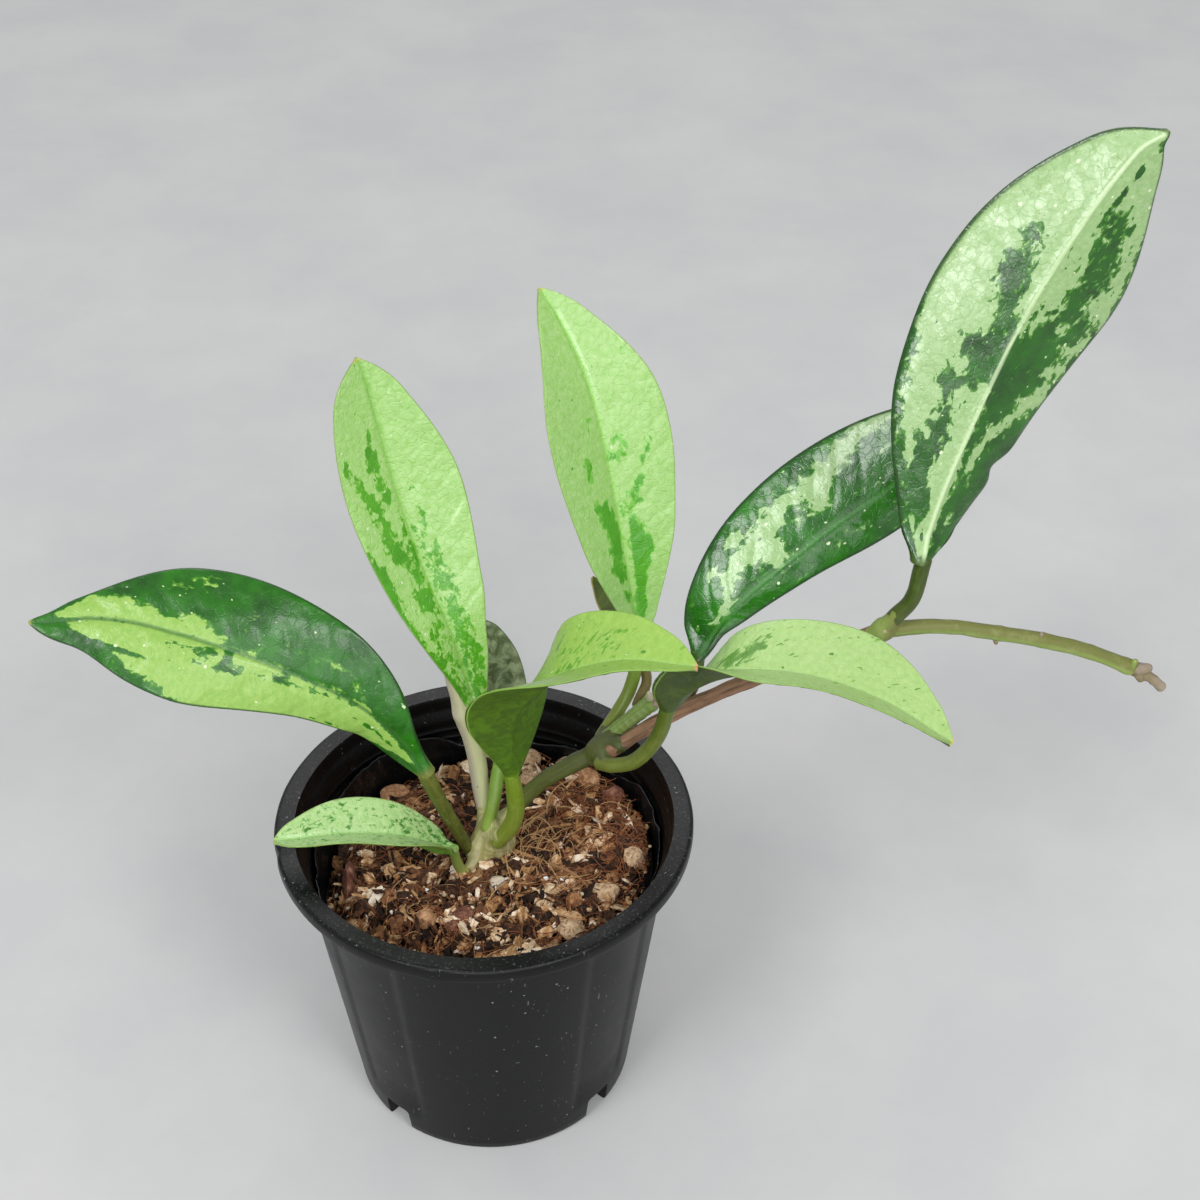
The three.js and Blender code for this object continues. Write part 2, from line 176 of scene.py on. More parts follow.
def strew_dots(
    add: Adder, place: Source, room_mm: float, share: float, largest: float, soft: float, strength: float
) -> bpy.types.Node:
    """Strews round dots, such as corky specks or dust grains.

    Args:
        add: adds a node to the material.
        place: places on the piece, in metres.
        room_mm: the room that each dot has to itself.
        share: how much of the room holds a dot.
        largest: the largest radius, as a share of the room.
        soft: the width of a dot's edge, as a share of the room.
        strength: what a dot's middle gives.

    Returns:
        A node that gives strength on a dot and 0 off it.
    """
    cells = add("TexVoronoi", {"Scale": METRE / room_mm}, {"Vector": place})
    lot = add("SeparateColor", links={0: cells.outputs["Color"]})
    size = add("MapRange", {"From Min": 1 - share, "From Max": 1.0, "To Max": largest}, {"Value": lot})
    inside = add("Math", links={0: size, 1: cells}, operation="SUBTRACT")
    return add("MapRange", {"From Max": soft, "To Max": strength}, {"Value": inside})


def mesh_from(bm: bmesh.types.BMesh, name: str) -> Mesh:
    """Turns a bmesh into a mesh and frees it."""
    mesh = bpy.data.meshes.new(name)
    bm.to_mesh(mesh)
    bm.free()
    return mesh


def grid_mesh(name: str, columns: int, rows: int) -> Mesh:
    """A flat grid of size 1, to be moved into shape."""
    bm = bmesh.new()
    bmesh.ops.create_grid(bm, x_segments=columns, y_segments=rows, size=0.5)
    return mesh_from(bm, name)


def ball_mesh(name: str, detail: int) -> Mesh:
    """An even ball of radius 1, to be moved into shape."""
    bm = bmesh.new()
    bmesh.ops.create_icosphere(bm, subdivisions=detail, radius=1)
    return mesh_from(bm, name)


def turned_solid(outline: Sequence[tuple[float, float]], steps: int) -> bmesh.types.BMesh:
    """Turns an outline about the pot's axis.

    Args:
        outline: radius and height of each point, in millimetres, from the axis back to it.
        steps: how many sides it has.

    Returns:
        A closed solid.
    """
    bm = bmesh.new()
    verts = [bm.verts.new((r * MM, 0, z * MM)) for r, z in outline]
    edges = [bm.edges.new(pair) for pair in zip(verts, verts[1:])]
    bmesh.ops.spin(
        bm, geom=verts + edges, cent=(0, 0, 0), axis=(0, 0, 1), angle=FULL_TURN, steps=steps, use_merge=True,
    )
    bmesh.ops.remove_doubles(bm, verts=bm.verts, dist=MERGE)
    bmesh.ops.recalc_face_normals(bm, faces=bm.faces)
    return bm


def in_scene(name: str, data: bpy.types.ID) -> Piece:
    """Puts data in an object of its own and shows it."""
    made = bpy.data.objects.new(name, data)
    bpy.context.scene.collection.objects.link(made)
    return made


@dataclass(frozen=True)
class Route:
    """A smooth centripetal curve through a few points, in millimetres."""

    points: tuple[Point, ...]
    samples: int = 801

    def trace(self) -> tuple[Array, Array, Array]:
        """Samples the curve.

        Returns:
            The curve's parameter, the length so far and the place at each sample.
        """
        given = [np.array(p, float) for p in self.points]
        last = len(given) - 1
        padded = [2 * given[0] - given[1], *given, 2 * given[last] - given[last - 1]]
        parameter = np.linspace(0, 1, self.samples)
        places = []
        for t in parameter:
            leg = min(int(t * last), last - 1)
            w = t * last - leg
            p0, p1, p2, p3 = padded[leg : leg + 4]
            d0, d1, d2 = (np.sum((b - a) ** 2) ** 0.25 for a, b in ((p0, p1), (p1, p2), (p2, p3)))
            t1 = ((p1 - p0) / d0 - (p2 - p0) / (d0 + d1) + (p2 - p1) / d1) * d1
            t2 = ((p2 - p1) / d1 - (p3 - p1) / (d1 + d2) + (p3 - p2) / d2) * d1
            curve = (2 * p1 - 2 * p2 + t1 + t2) * w**3 + (-3 * p1 + 3 * p2 - 2 * t1 - t2) * w * w
            places.append(curve + t1 * w + p1)
        places = np.array(places)
        steps = np.linalg.norm(np.diff(places, axis=0), axis=1)
        return parameter, np.concatenate([[0], np.cumsum(steps)]), places


def unit(vectors: Array) -> Array:
    """Scales each row of an array to length 1."""
    return vectors / np.linalg.norm(vectors, axis=-1, keepdims=True)


def along_route(lengths: Array, places: Array, distance: Array) -> tuple[Array, Array]:
    """Places and directions on a sampled curve, which goes on straight past its ends.

    Args:
        lengths: the length so far at each sample.
        places: the place at each sample.
        distance: how far along, one value for each point asked for.

    Returns:
        The places and the unit directions.
    """
    inner = np.clip(distance, 0, lengths[-1])
    step = 0.004 * lengths[-1]

    def at(x: Array) -> Array:
        """The place at a length."""
        return np.stack([np.interp(x, lengths, places[:, k]) for k in range(3)], -1)

    ahead = np.clip(inner + step, 0, lengths[-1])
    behind = np.clip(inner - step, 0, lengths[-1])
    tangent = unit(at(ahead) - at(behind))
    return at(inner) + tangent * (distance - inner)[:, None], tangent


def finish_piece(
    name: str, mesh: Mesh, material: bpy.types.Material, nodes: Sequence[str] = (),
    flat: bool = False,
) -> Piece:
    """Makes a mesh one piece of the object.

    Args:
        name: the piece's name.
        mesh: its finished mesh, in metres.
        material: its finish.
        nodes: the CAD nodes that it stands for.
        flat: True for broken or cut faces, which aren't shaded smooth.

    Returns:
        The piece.
    """
    mesh.name = name
    mesh.materials.clear()
    mesh.materials.append(material)
    mesh.polygons.foreach_set("use_smooth", [not flat] * len(mesh.polygons))
    piece = in_scene(name, mesh)
    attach(piece, "root")
    if nodes:
        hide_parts(*nodes)
    log.info("%s: %d faces", name, len(mesh.polygons))
    return piece


def set_points(mesh: Mesh, places: Array) -> None:
    """Moves every vertex of a mesh to a place in millimetres."""
    mesh.vertices.foreach_set("co", (places * MM).astype(np.float32).ravel())


def get_points(mesh: Mesh) -> Array:
    """Every vertex of a mesh as an N by 3 array, as it stands."""
    flat = np.zeros(len(mesh.vertices) * 3, np.float32)
    mesh.vertices.foreach_get("co", flat)
    return flat.reshape(-1, 3).astype(float)


def set_uv(mesh: Mesh, name: str, per_vertex: Array) -> None:
    """Gives a mesh a UV map.

    Args:
        mesh: the mesh.
        name: the map's name.
        per_vertex: an N by 2 array in metres, so that a pattern keeps its real size.
    """
    corners = np.zeros(len(mesh.loops), np.int32)
    mesh.loops.foreach_get("vertex_index", corners)
    layer = mesh.uv_layers.new(name=name)
    layer.data.foreach_set("uv", per_vertex[corners].astype(np.float32).ravel())


def set_vectors(mesh: Mesh, name: str, per_vertex: Array) -> None:
    """Gives a mesh a named attribute of three numbers for each vertex."""
    layer = mesh.attributes.new(name, "FLOAT_VECTOR", "POINT")
    layer.data.foreach_set("vector", per_vertex.astype(np.float32).ravel())


def join_seams(mesh: Mesh) -> Mesh:
    """Merges the vertices that lie on each other and turns every face outwards."""
    bm = bmesh.new()
    bm.from_mesh(mesh)
    bmesh.ops.remove_doubles(bm, verts=bm.verts, dist=MERGE)
    bmesh.ops.dissolve_degenerate(bm, edges=bm.edges, dist=MERGE)
    bmesh.ops.recalc_face_normals(bm, faces=bm.faces)
    bm.to_mesh(mesh)
    bm.free()
    return mesh


# ------------------------------------------------------------------ finishes
WAX_IOR = 1.45  # plant wax and cork skin
PLASTIC_IOR = 1.49
VEIN_DEPTH = 0.14 * MM  # of the leaf's embossed net
RIND_DEPTH = 0.2 * MM  # of a stem's streaks, and of a moulded skin's ripple
GRAIN_DEPTH = 0.35 * MM  # of broken bark and stone


@dataclass(frozen=True)
class LeafFinish:
    """Living hoya leaf: a waxy cuticle over green flesh, silvery where air lies under the skin.

    The wax gives a clear highlight that the embossed veins break up. The splash has crisp ragged
    edges, because it follows whole cells. The mesh carries the UV maps "blade" (across and along)
    and "veins" (along from vein to vein, across), both in metres, "lay" (millimetres from the
    midrib, millimetres from the margin, share of the length) and "paint" (splash, upper side, 0).
    """

    name: str
    flesh: str
    flesh_deep: str
    halo: str  # the thin border where splash and flesh lie over each other
    splash: str
    splash_cool: str
    underside: str
    underside_deep: str
    # colour of the midrib line; where it is darker than the blade beside it, it is painted shade in the
    # midrib's groove
    rib: str
    neck: str  # the stalk's colour, where the blade starts
    rib_strength: float = 0.5
    margin: str = "#20400f"
    tip: str = "#b9a24c"
    ragged: float = 0.8
    patch_mm: float = 4.0  # width of the islands at the splash's edge
    teeth_mm: float = 1.5  # width of the teeth on them
    cell_mm: float = 0.7  # width of the jags, about two cells of the skin
    follow_veins: bool = False  # draws the patches out along the side veins, not along the leaf
    stretch: float = 1.6
    dots: float = 0.5  # share of the 3.4 mm squares that hold a silver dot
    specks: float = 0.3  # share of the 3.1 mm squares that hold a dark speck
    roughness: float = 0.34
    coat: float = 0.35
    emboss: float = 0.5
    margin_mm: float = 0.5  # width of the line along the margin
    dot_size: float = 0.13  # radius of the largest silver dot, as a share of its square

    def build(self) -> bpy.types.Material:
        """Makes the material."""
        material, add, shader = new_material(self.name)
        blade = add("UVMap", uv_map="blade")
        lay = add("Attribute", attribute_name="lay").outputs["Vector"]
        paint = add("Attribute", attribute_name="paint").outputs["Vector"]
        place = add("SeparateXYZ", links={0: lay})
        painted = add("SeparateXYZ", links={0: paint})
        score = self.splash_score(add, painted.outputs["X"])
        colour = self.skin_colour(add, blade, place, score)
        clouds = add("TexNoise", {"Scale": METRE / 3.6, "Detail": 5.0, "Distortion": 1.4}, {"Vector": blade})
        marbled = add("MapRange", {"From Min": 0.38, "From Max": 0.6}, {"Value": clouds})
        under = add("Mix", {MIX_A: self.underside, MIX_B: self.underside_deep},
            {0: marbled}, data_type="RGBA",
        )
        both = add("Mix", links={0: painted.outputs["Y"], MIX_A: under, MIX_B: colour}, data_type="RGBA")
        start = add(
            "MapRange", {"From Min": 0.004, "From Max": 0.026, "To Min": 0.9, "To Max": 0.0},
            {"Value": place.outputs["Z"]}, interpolation_type="SMOOTHSTEP",
        )
        whole = add("Mix", {MIX_B: self.neck}, {0: start, MIX_A: both}, data_type="RGBA")
        wax = add(
            "MapRange", {"To Min": self.roughness - 0.06, "To Max": self.roughness + 0.1}, {"Value": clouds},
        )
        matt = add("Math", {1: -0.24, 2: 0.24}, {0: painted.outputs["Y"]}, operation="MULTIPLY_ADD")
        sheen = add("Math", links={0: wax, 1: matt})
        feeds = {"Base Color": whole, "Roughness": sheen, "Normal": self.relief(add, blade)}
        set_shader(shader, feeds, IOR=WAX_IOR, Coat_Weight=self.coat, Coat_Roughness=0.16)
        return material

    def splash_score(self, add: Adder, painted: Source) -> Source:
        """Roughens the painted splash with islands, teeth and single cells.

        Args:
            add: adds a node to the material.
            painted: how likely splash is there, from 0 to 1.

        Returns:
            A score that is above 0.5 on the splash.
        """
        flat = add("UVMap", uv_map="veins" if self.follow_veins else "blade")
        drawn = add("Mapping", {"Scale": (1.0, self.stretch, 1.0)}, {"Vector": flat}, vector_type="TEXTURE")
        islands = add(
            "TexNoise", {"Scale": METRE / self.patch_mm, "Detail": 3.0, "Roughness": 0.55, "Distortion": 0.6},
            {"Vector": drawn},
        )
        teeth = add(
            "TexNoise", {"Scale": METRE / self.teeth_mm, "Detail": 2.0, "Roughness": 0.5, "Distortion": 0.5},
            {"Vector": drawn},
        )
        cells = add("TexVoronoi", {"Scale": METRE / self.cell_mm}, {"Vector": drawn})
        lot = add("SeparateColor", links={0: cells.outputs["Color"]})
        score = painted
        for source, weight in ((islands, 1.3), (teeth, 1.1), (lot, 0.12)):
            part = add("Math", {1: weight * self.ragged, 2: -weight * self.ragged / 2}, {0: source},
                operation="MULTIPLY_ADD",
            )
            score = add("Math", links={0: part, 1: score})
        return score

    def skin_colour(self, add: Adder, blade: Source, place: bpy.types.Node, score: Source) -> Source:
        """Colours the upper side: flesh, splash, dots, specks, midrib, margin and tip.

        Args:
            add: adds a node to the material.
            blade: places on the leaf, in metres.
            place: the separated "lay" attribute.
            score: above 0.5 on the splash.

        Returns:
            The colour.
        """
        flesh = self.two_tones(add, blade, 9.0, self.flesh, self.flesh_deep)
        pale = self.two_tones(add, blade, 1.5, self.splash, self.splash_cool)
        halo = add("MapRange", {"From Min": 0.36, "From Max": 0.42, "To Max": 0.75},
            {"Value": score}, interpolation_type="SMOOTHSTEP",
        )
        cut = add("MapRange", {"From Min": 0.485, "From Max": 0.515}, {"Value": score},
            interpolation_type="SMOOTHSTEP",
        )
        colour = self.over(add, flesh, halo, self.halo)
        colour = add("Mix", links={0: cut, MIX_A: colour, MIX_B: pale}, data_type="RGBA")
        colour = self.over(add, colour, self.dot_mask(add, blade, 3.4, self.dots, 3.0), "#d3e2b8")
        colour = self.over(add, colour, self.dot_mask(add, blade, 1.9, 0.5 * self.dots, 7.0), "#bfd6a0")
        colour = self.over(add, colour, self.dot_mask(add, blade, 3.1, self.specks, 11.0), self.flesh_deep)
        # the midrib line: where its colour is darker than the blade, painted shade in the groove
        line = add(
            "MapRange", {"From Min": 0.1, "From Max": 0.8, "To Min": self.rib_strength, "To Max": 0.0},
            {"Value": place.outputs["X"]}, interpolation_type="SMOOTHSTEP",
        )
        colour = self.over(add, colour, line, self.rib)
        edge = add(
            "MapRange",
            {
                "From Min": 0.3 * self.margin_mm, "From Max": 1.1 * self.margin_mm, "To Min": 0.92,
                "To Max": 0.0,
            },
            {"Value": place.outputs["Y"]}, interpolation_type="SMOOTHSTEP",
        )
        colour = self.over(add, colour, edge, self.margin)
        end = add("MapRange", {"From Min": 0.988, "From Max": 0.998},
            {"Value": place.outputs["Z"]}, interpolation_type="SMOOTHSTEP",
        )
        return self.over(add, colour, end, self.tip)

    def over(self, add: Adder, below: Source, share: Source, code: str) -> Source:
        """Lays one plain colour over another where share is above 0."""
        return add("Mix", {MIX_B: code}, {0: share, MIX_A: below}, data_type="RGBA")

    def two_tones(self, add: Adder, blade: Source, size_mm: float, first: str, second: str) -> Source:
        """Mottles one colour with another."""
        clouds = add("TexNoise", {"Scale": METRE / size_mm, "Detail": 6.0, "Roughness": 0.65},
            {"Vector": blade},
        )
        spread = add("MapRange", {"From Min": 0.33, "From Max": 0.67}, {"Value": clouds})
        return add("Mix", {MIX_A: first, MIX_B: second}, {0: spread}, data_type="RGBA")

    def dot_mask(self, add: Adder, blade: Source, square_mm: float, share: float, shift: float) -> Source:
        """Strews small dots of uneven size.

        Args:
            add: adds a node to the material.
            blade: places on the leaf, in metres.
            square_mm: the room that each dot has to itself.
            share: how many of the squares hold a dot.
            shift: moves the pattern, so that two of them differ.

        Returns:
            1 on a dot.
        """
        moved = add("Mapping", {"Location": (shift, shift / 3, 0.0), "Scale": (1.0, 0.75, 1.0)},
            {"Vector": blade},
        )
        wobble = add("TexNoise", {"Scale": METRE / 0.7, "Detail": 2.0}, {"Vector": moved})
        bent = add("VectorMath", {1: (0.0006, 0.0006, 0.0)},
            {0: wobble.outputs["Color"], 2: moved}, operation="MULTIPLY_ADD",
        )
        squares = add("TexVoronoi", {"Scale": METRE / square_mm}, {"Vector": bent})
        lot = add("SeparateColor", links={0: squares.outputs["Color"]})
        chosen = add("Math", {1: 1 - share}, {0: lot}, operation="GREATER_THAN")
        size = add("MapRange", {"To Min": 0.04, "To Max": self.dot_size}, {"Value": lot.outputs[1]})
        radius = add("Math", links={0: size, 1: chosen}, operation="MULTIPLY")
        inside = add("Math", links={0: radius, 1: squares}, operation="SUBTRACT")
        return add("MapRange", {"From Min": -0.012, "From Max": 0.012}, {"Value": inside})

    def relief(self, add: Adder, blade: Source) -> Source:
        """The embossed net of small veins and the pebbling of the skin, as a normal."""
        wave = add("TexNoise", {"Scale": METRE / 2.5, "Detail": 2.0}, {"Vector": blade})
        bent = add("VectorMath", {1: (0.002, 0.002, 0.0)},
            {0: wave.outputs["Color"], 2: blade}, operation="MULTIPLY_ADD",
        )
        net = add("TexVoronoi", {"Scale": METRE / 2.2}, {"Vector": bent}, feature="DISTANCE_TO_EDGE")
        vein = add("MapRange", {"From Max": 0.1, "To Max": 0.5}, {"Value": net},
            interpolation_type="SMOOTHSTEP",
        )
        pebble = add("TexNoise", {"Scale": METRE / 0.8, "Detail": 3.0}, {"Vector": blade})
        height = add("Math", links={0: vein, 1: pebble})
        return add("Bump", {"Strength": self.emboss, "Distance": VEIN_DEPTH}, {"Height": height})


@dataclass(frozen=True)
class RindFinish:
    """Skin of a living stem or petiole, grown smooth: fine streaks along it, corky specks, scurf.

    The mesh carries the UV map "rind" (round and along, in metres) and "lay" (share of the
    length, from 1 on the side that takes the painted shade to 0 on the other, 0).
    """

    name: str
    foot: str  # colour where the stem starts
    head: str  # colour where it ends
    streak: str
    speck: str
    shaded: str = ""  # painted shade: colour of the side away from the light, where it differs
    streak_strength: float = 0.5
    specks: float = 0.5
    roughness: float = 0.42
    grain: float = 0.35

    def build(self) -> bpy.types.Material:
        """Makes the material."""
        material, add, shader = new_material(self.name)
        rind = add("UVMap", uv_map="rind")
        lay = add("Attribute", attribute_name="lay").outputs["Vector"]
        place = add("SeparateXYZ", links={0: lay})
        colour = add("Mix", {MIX_A: self.foot, MIX_B: self.head}, {0: place.outputs["X"]}, data_type="RGBA")
        drawn = add("Mapping", {"Scale": (1.0, 0.09, 1.0)}, {"Vector": rind})
        fibre = add("TexNoise", {"Scale": METRE / 0.8, "Detail": 4.0, "Roughness": 0.6}, {"Vector": drawn})
        lines = add(
            "MapRange", {"From Min": 0.45, "From Max": 0.68, "To Max": self.streak_strength},
            {"Value": fibre},
        )
        colour = add("Mix", {MIX_B: self.streak}, {0: lines, MIX_A: colour}, data_type="RGBA")
        scurf = add("TexNoise", {"Scale": METRE / 4, "Detail": 6.0, "Roughness": 0.75}, {"Vector": rind})
        # painted shade: the side where the second value of "lay" nears 1 takes the shade colour, with a
        # ragged border from the scurf
        if self.shaded:
            side = add("Math", {1: 0.35}, {0: scurf}, operation="MULTIPLY")
            turned = add("Math", links={0: side, 1: place.outputs["Y"]})
            far = add("MapRange", {"From Min": 0.62, "From Max": 0.9}, {"Value": turned})
            colour = add("Mix", {MIX_B: self.shaded}, {0: far, MIX_A: colour}, data_type="RGBA")
        dot = strew_dots(add, rind, 2.2, self.specks, 0.16, 0.05, 0.8)
        colour = add("Mix", {MIX_B: self.speck}, {0: dot, MIX_A: colour}, data_type="RGBA")
        worn = add("MapRange", {"From Min": 0.5, "From Max": 0.75, "To Max": 0.45}, {"Value": scurf})
        colour = add("Mix", {MIX_B: self.streak}, {0: worn, MIX_A: colour}, data_type="RGBA")
        sheen = add(
            "MapRange", {"To Min": self.roughness - 0.08, "To Max": self.roughness + 0.16}, {"Value": scurf},
        )
        height = add("Math", links={0: fibre, 1: dot})
        bump = add("Bump", {"Strength": self.grain, "Distance": RIND_DEPTH}, {"Height": height})
        feeds = {"Base Color": colour, "Roughness": sheen, "Normal": bump}
        set_shader(shader, feeds, IOR=WAX_IOR)
        return material


@dataclass(frozen=True)
class BrokenFinish:
    """Dry broken matter, such as pine bark, coir, pumice or perlite: matt, grainy, no two alike.

    The mesh may carry "tone", one value from 0 to 1 for each chip, which picks its colour.
    """

    name: str
    stops: tuple[tuple[float, str], ...]
    grain_mm: float = 1.2
    stretch: float = 1.0
    variety: float = 0.35
    use_tone: bool = True
    roughness: float = 0.88
    grain: float = 0.6
    pore: str = ""  # colour of the pores, where the stuff has them: painted shade in the pits
    pore_mm: float = 1.4

    def build(self) -> bpy.types.Material:
        """Makes the material."""
        material, add, shader = new_material(self.name)
        place = add("TexCoord").outputs["Object"]
        drawn = add("Mapping", {"Scale": (1.0, 1.0, self.stretch)}, {"Vector": place})
        grain = add(
            "TexNoise", {"Scale": METRE / self.grain_mm, "Detail": 6.0, "Roughness": 0.68},
            {"Vector": drawn},
        )
        shade = add(
            "MapRange",
            {"From Min": 0.3, "From Max": 0.7, "To Min": -self.variety / 2, "To Max": self.variety / 2},
            {"Value": grain},
        )
        if self.use_tone:
            tone = add("Attribute", attribute_name="tone").outputs["Fac"]
            shade = add("Math", links={0: shade, 1: tone})
        else:
            shade = add("Math", {1: 0.5}, {0: shade})
        colour = add("ValToRGB", links={0: shade}, stops=self.stops)
        height = grain
        # the pores are sunk by the bump and darkened as painted shade in the pits
        if self.pore:
            holes = add("TexVoronoi", {"Scale": METRE / self.pore_mm}, {"Vector": place})
            hole = add(
                "MapRange", {"From Min": 0.16, "From Max": 0.3, "To Min": 0.75, "To Max": 0.0},
                {"Value": holes},
            )
            colour = add("Mix", {MIX_B: self.pore}, {0: hole, MIX_A: colour}, data_type="RGBA")
            height = add("Math", links={0: height, 1: hole}, operation="SUBTRACT")
        bump = add("Bump", {"Strength": self.grain, "Distance": GRAIN_DEPTH}, {"Height": height})
        feeds = {"Base Color": colour, "Normal": bump}
        set_shader(shader, feeds, Roughness=self.roughness, Specular_IOR_Level=0.3)
        return material


@dataclass(frozen=True)
class PlasticFinish:
    """Black polypropylene, injection moulded: a low even sheen, dust specks, rubbed grey patches."""

    name: str
    base: str
    rubbed: str
    dust: str
    speck_mm: float = 2.6
    specks: float = 0.55
    roughness: float = 0.46
    ripple_mm: float = 1.2
    grain: float = 0.12
    settled: float = 0.0  # how much dust lies on the faces that look up
    sheen: float = 0.34  # strength of the highlight

    def build(self) -> bpy.types.Material:
        """Makes the material."""
        material, add, shader = new_material(self.name)
        place = add("TexCoord").outputs["Object"]
        rubs = add("TexNoise", {"Scale": METRE / 14, "Detail": 7.0, "Roughness": 0.7}, {"Vector": place})
        worn = add("MapRange", {"From Min": 0.42, "From Max": 0.75}, {"Value": rubs})
        colour = add("Mix", {MIX_A: self.base, MIX_B: self.rubbed}, {0: worn}, data_type="RGBA")
        for room_mm, share, shift in ((self.speck_mm, self.specks, 0.0), (self.speck_mm / 2, 0.3, 0.4)):
            moved = add("Mapping", {"Location": (shift, shift, shift)}, {"Vector": place})
            dot = strew_dots(add, moved, room_mm, share, 0.14, 0.04, 0.7)
            colour = add("Mix", {MIX_B: self.dust}, {0: dot, MIX_A: colour}, data_type="RGBA")
        colour = self.scratches(add, place, colour)
        colour = self.settled_dust(add, place, colour)
        sheen = add(
            "MapRange", {"To Min": self.roughness - 0.1, "To Max": self.roughness + 0.16}, {"Value": rubs},
        )
        skin = add("TexNoise", {"Scale": METRE / self.ripple_mm, "Detail": 3.0}, {"Vector": place})
        bump = add("Bump", {"Strength": self.grain, "Distance": RIND_DEPTH}, {"Height": skin})
        feeds = {"Base Color": colour, "Roughness": sheen, "Normal": bump}
        set_shader(shader, feeds, IOR=PLASTIC_IOR, Specular_IOR_Level=self.sheen)
        return material

    def scratches(self, add: Adder, place: Source, colour: Source) -> Source:
        """Draws short pale scratches up the wall.

        Args:
            add: adds a node to the material.
            place: Object coordinates.
            colour: the colour so far.

        Returns:
            The colour with the scratches.
        """
        drawn = add("Mapping", {"Scale": (1.0, 1.0, 0.16)}, {"Vector": place})
        lines = add("TexNoise", {"Scale": METRE / 0.9, "Detail": 2.0}, {"Vector": drawn})
        thin = add("MapRange", {"From Min": 0.71, "From Max": 0.76, "To Max": 0.35}, {"Value": lines})
        return add("Mix", {MIX_B: self.dust}, {0: thin, MIX_A: colour}, data_type="RGBA")

    def settled_dust(self, add: Adder, place: Source, colour: Source) -> Source:
        """Lays fine grey dust on the faces that look up, in grains and thin clouds.

        Args:
            add: adds a node to the material.
            place: Object coordinates.
            colour: the colour so far.

        Returns:
            The colour with the dust.
        """
        facing = add("NewGeometry").outputs["Normal"]
        upward = add("SeparateXYZ", links={0: facing})
        cover = add("MapRange", {"From Min": 0.2, "From Max": 0.9, "To Max": self.settled},
            {"Value": upward.outputs["Z"]},
        )
        grains = add("TexNoise", {"Scale": METRE / 0.7, "Detail": 5.0, "Roughness": 0.8}, {"Vector": place})
        shown = add("MapRange", {"From Min": 0.56, "From Max": 0.64}, {"Value": grains})
        amount = add("Math", links={0: cover, 1: shown}, operation="MULTIPLY")
        return add("Mix", {MIX_B: self.dust}, {0: amount, MIX_A: colour}, data_type="RGBA")


# ------------------------------------------------------------------ leaves
@dataclass(frozen=True)
class Mark:
    """One patch of a leaf's splash, painted over those before it.

    shade is 1 for splash and 0 for plain flesh. The outline holds (share of the length, low side,
    high side), with sides from -1 at the left margin to 1 at the right one.
    """

    shade: float
    outline: tuple[Point, ...]
    soft: float = 0.3

    def cover(self, along: Array, side: Array) -> Array:
        """How much of each point the mark covers, from 0 to 1."""
        stations, low, high = np.array(self.outline).T
        across = np.minimum(side - np.interp(along, stations, low), np.interp(along, stations, high) - side)
        ends = 4 * np.minimum(along - stations[0], stations[-1] - along)
        return np.clip(0.5 + np.minimum(across, ends) / self.soft, 0, 1)


@dataclass(frozen=True)
class Nick:
    """A place where the margin draws in: side (1 right, -1 left), share of the length, depth, reach."""

    side: int
    along: float
    depth: float
    reach: float


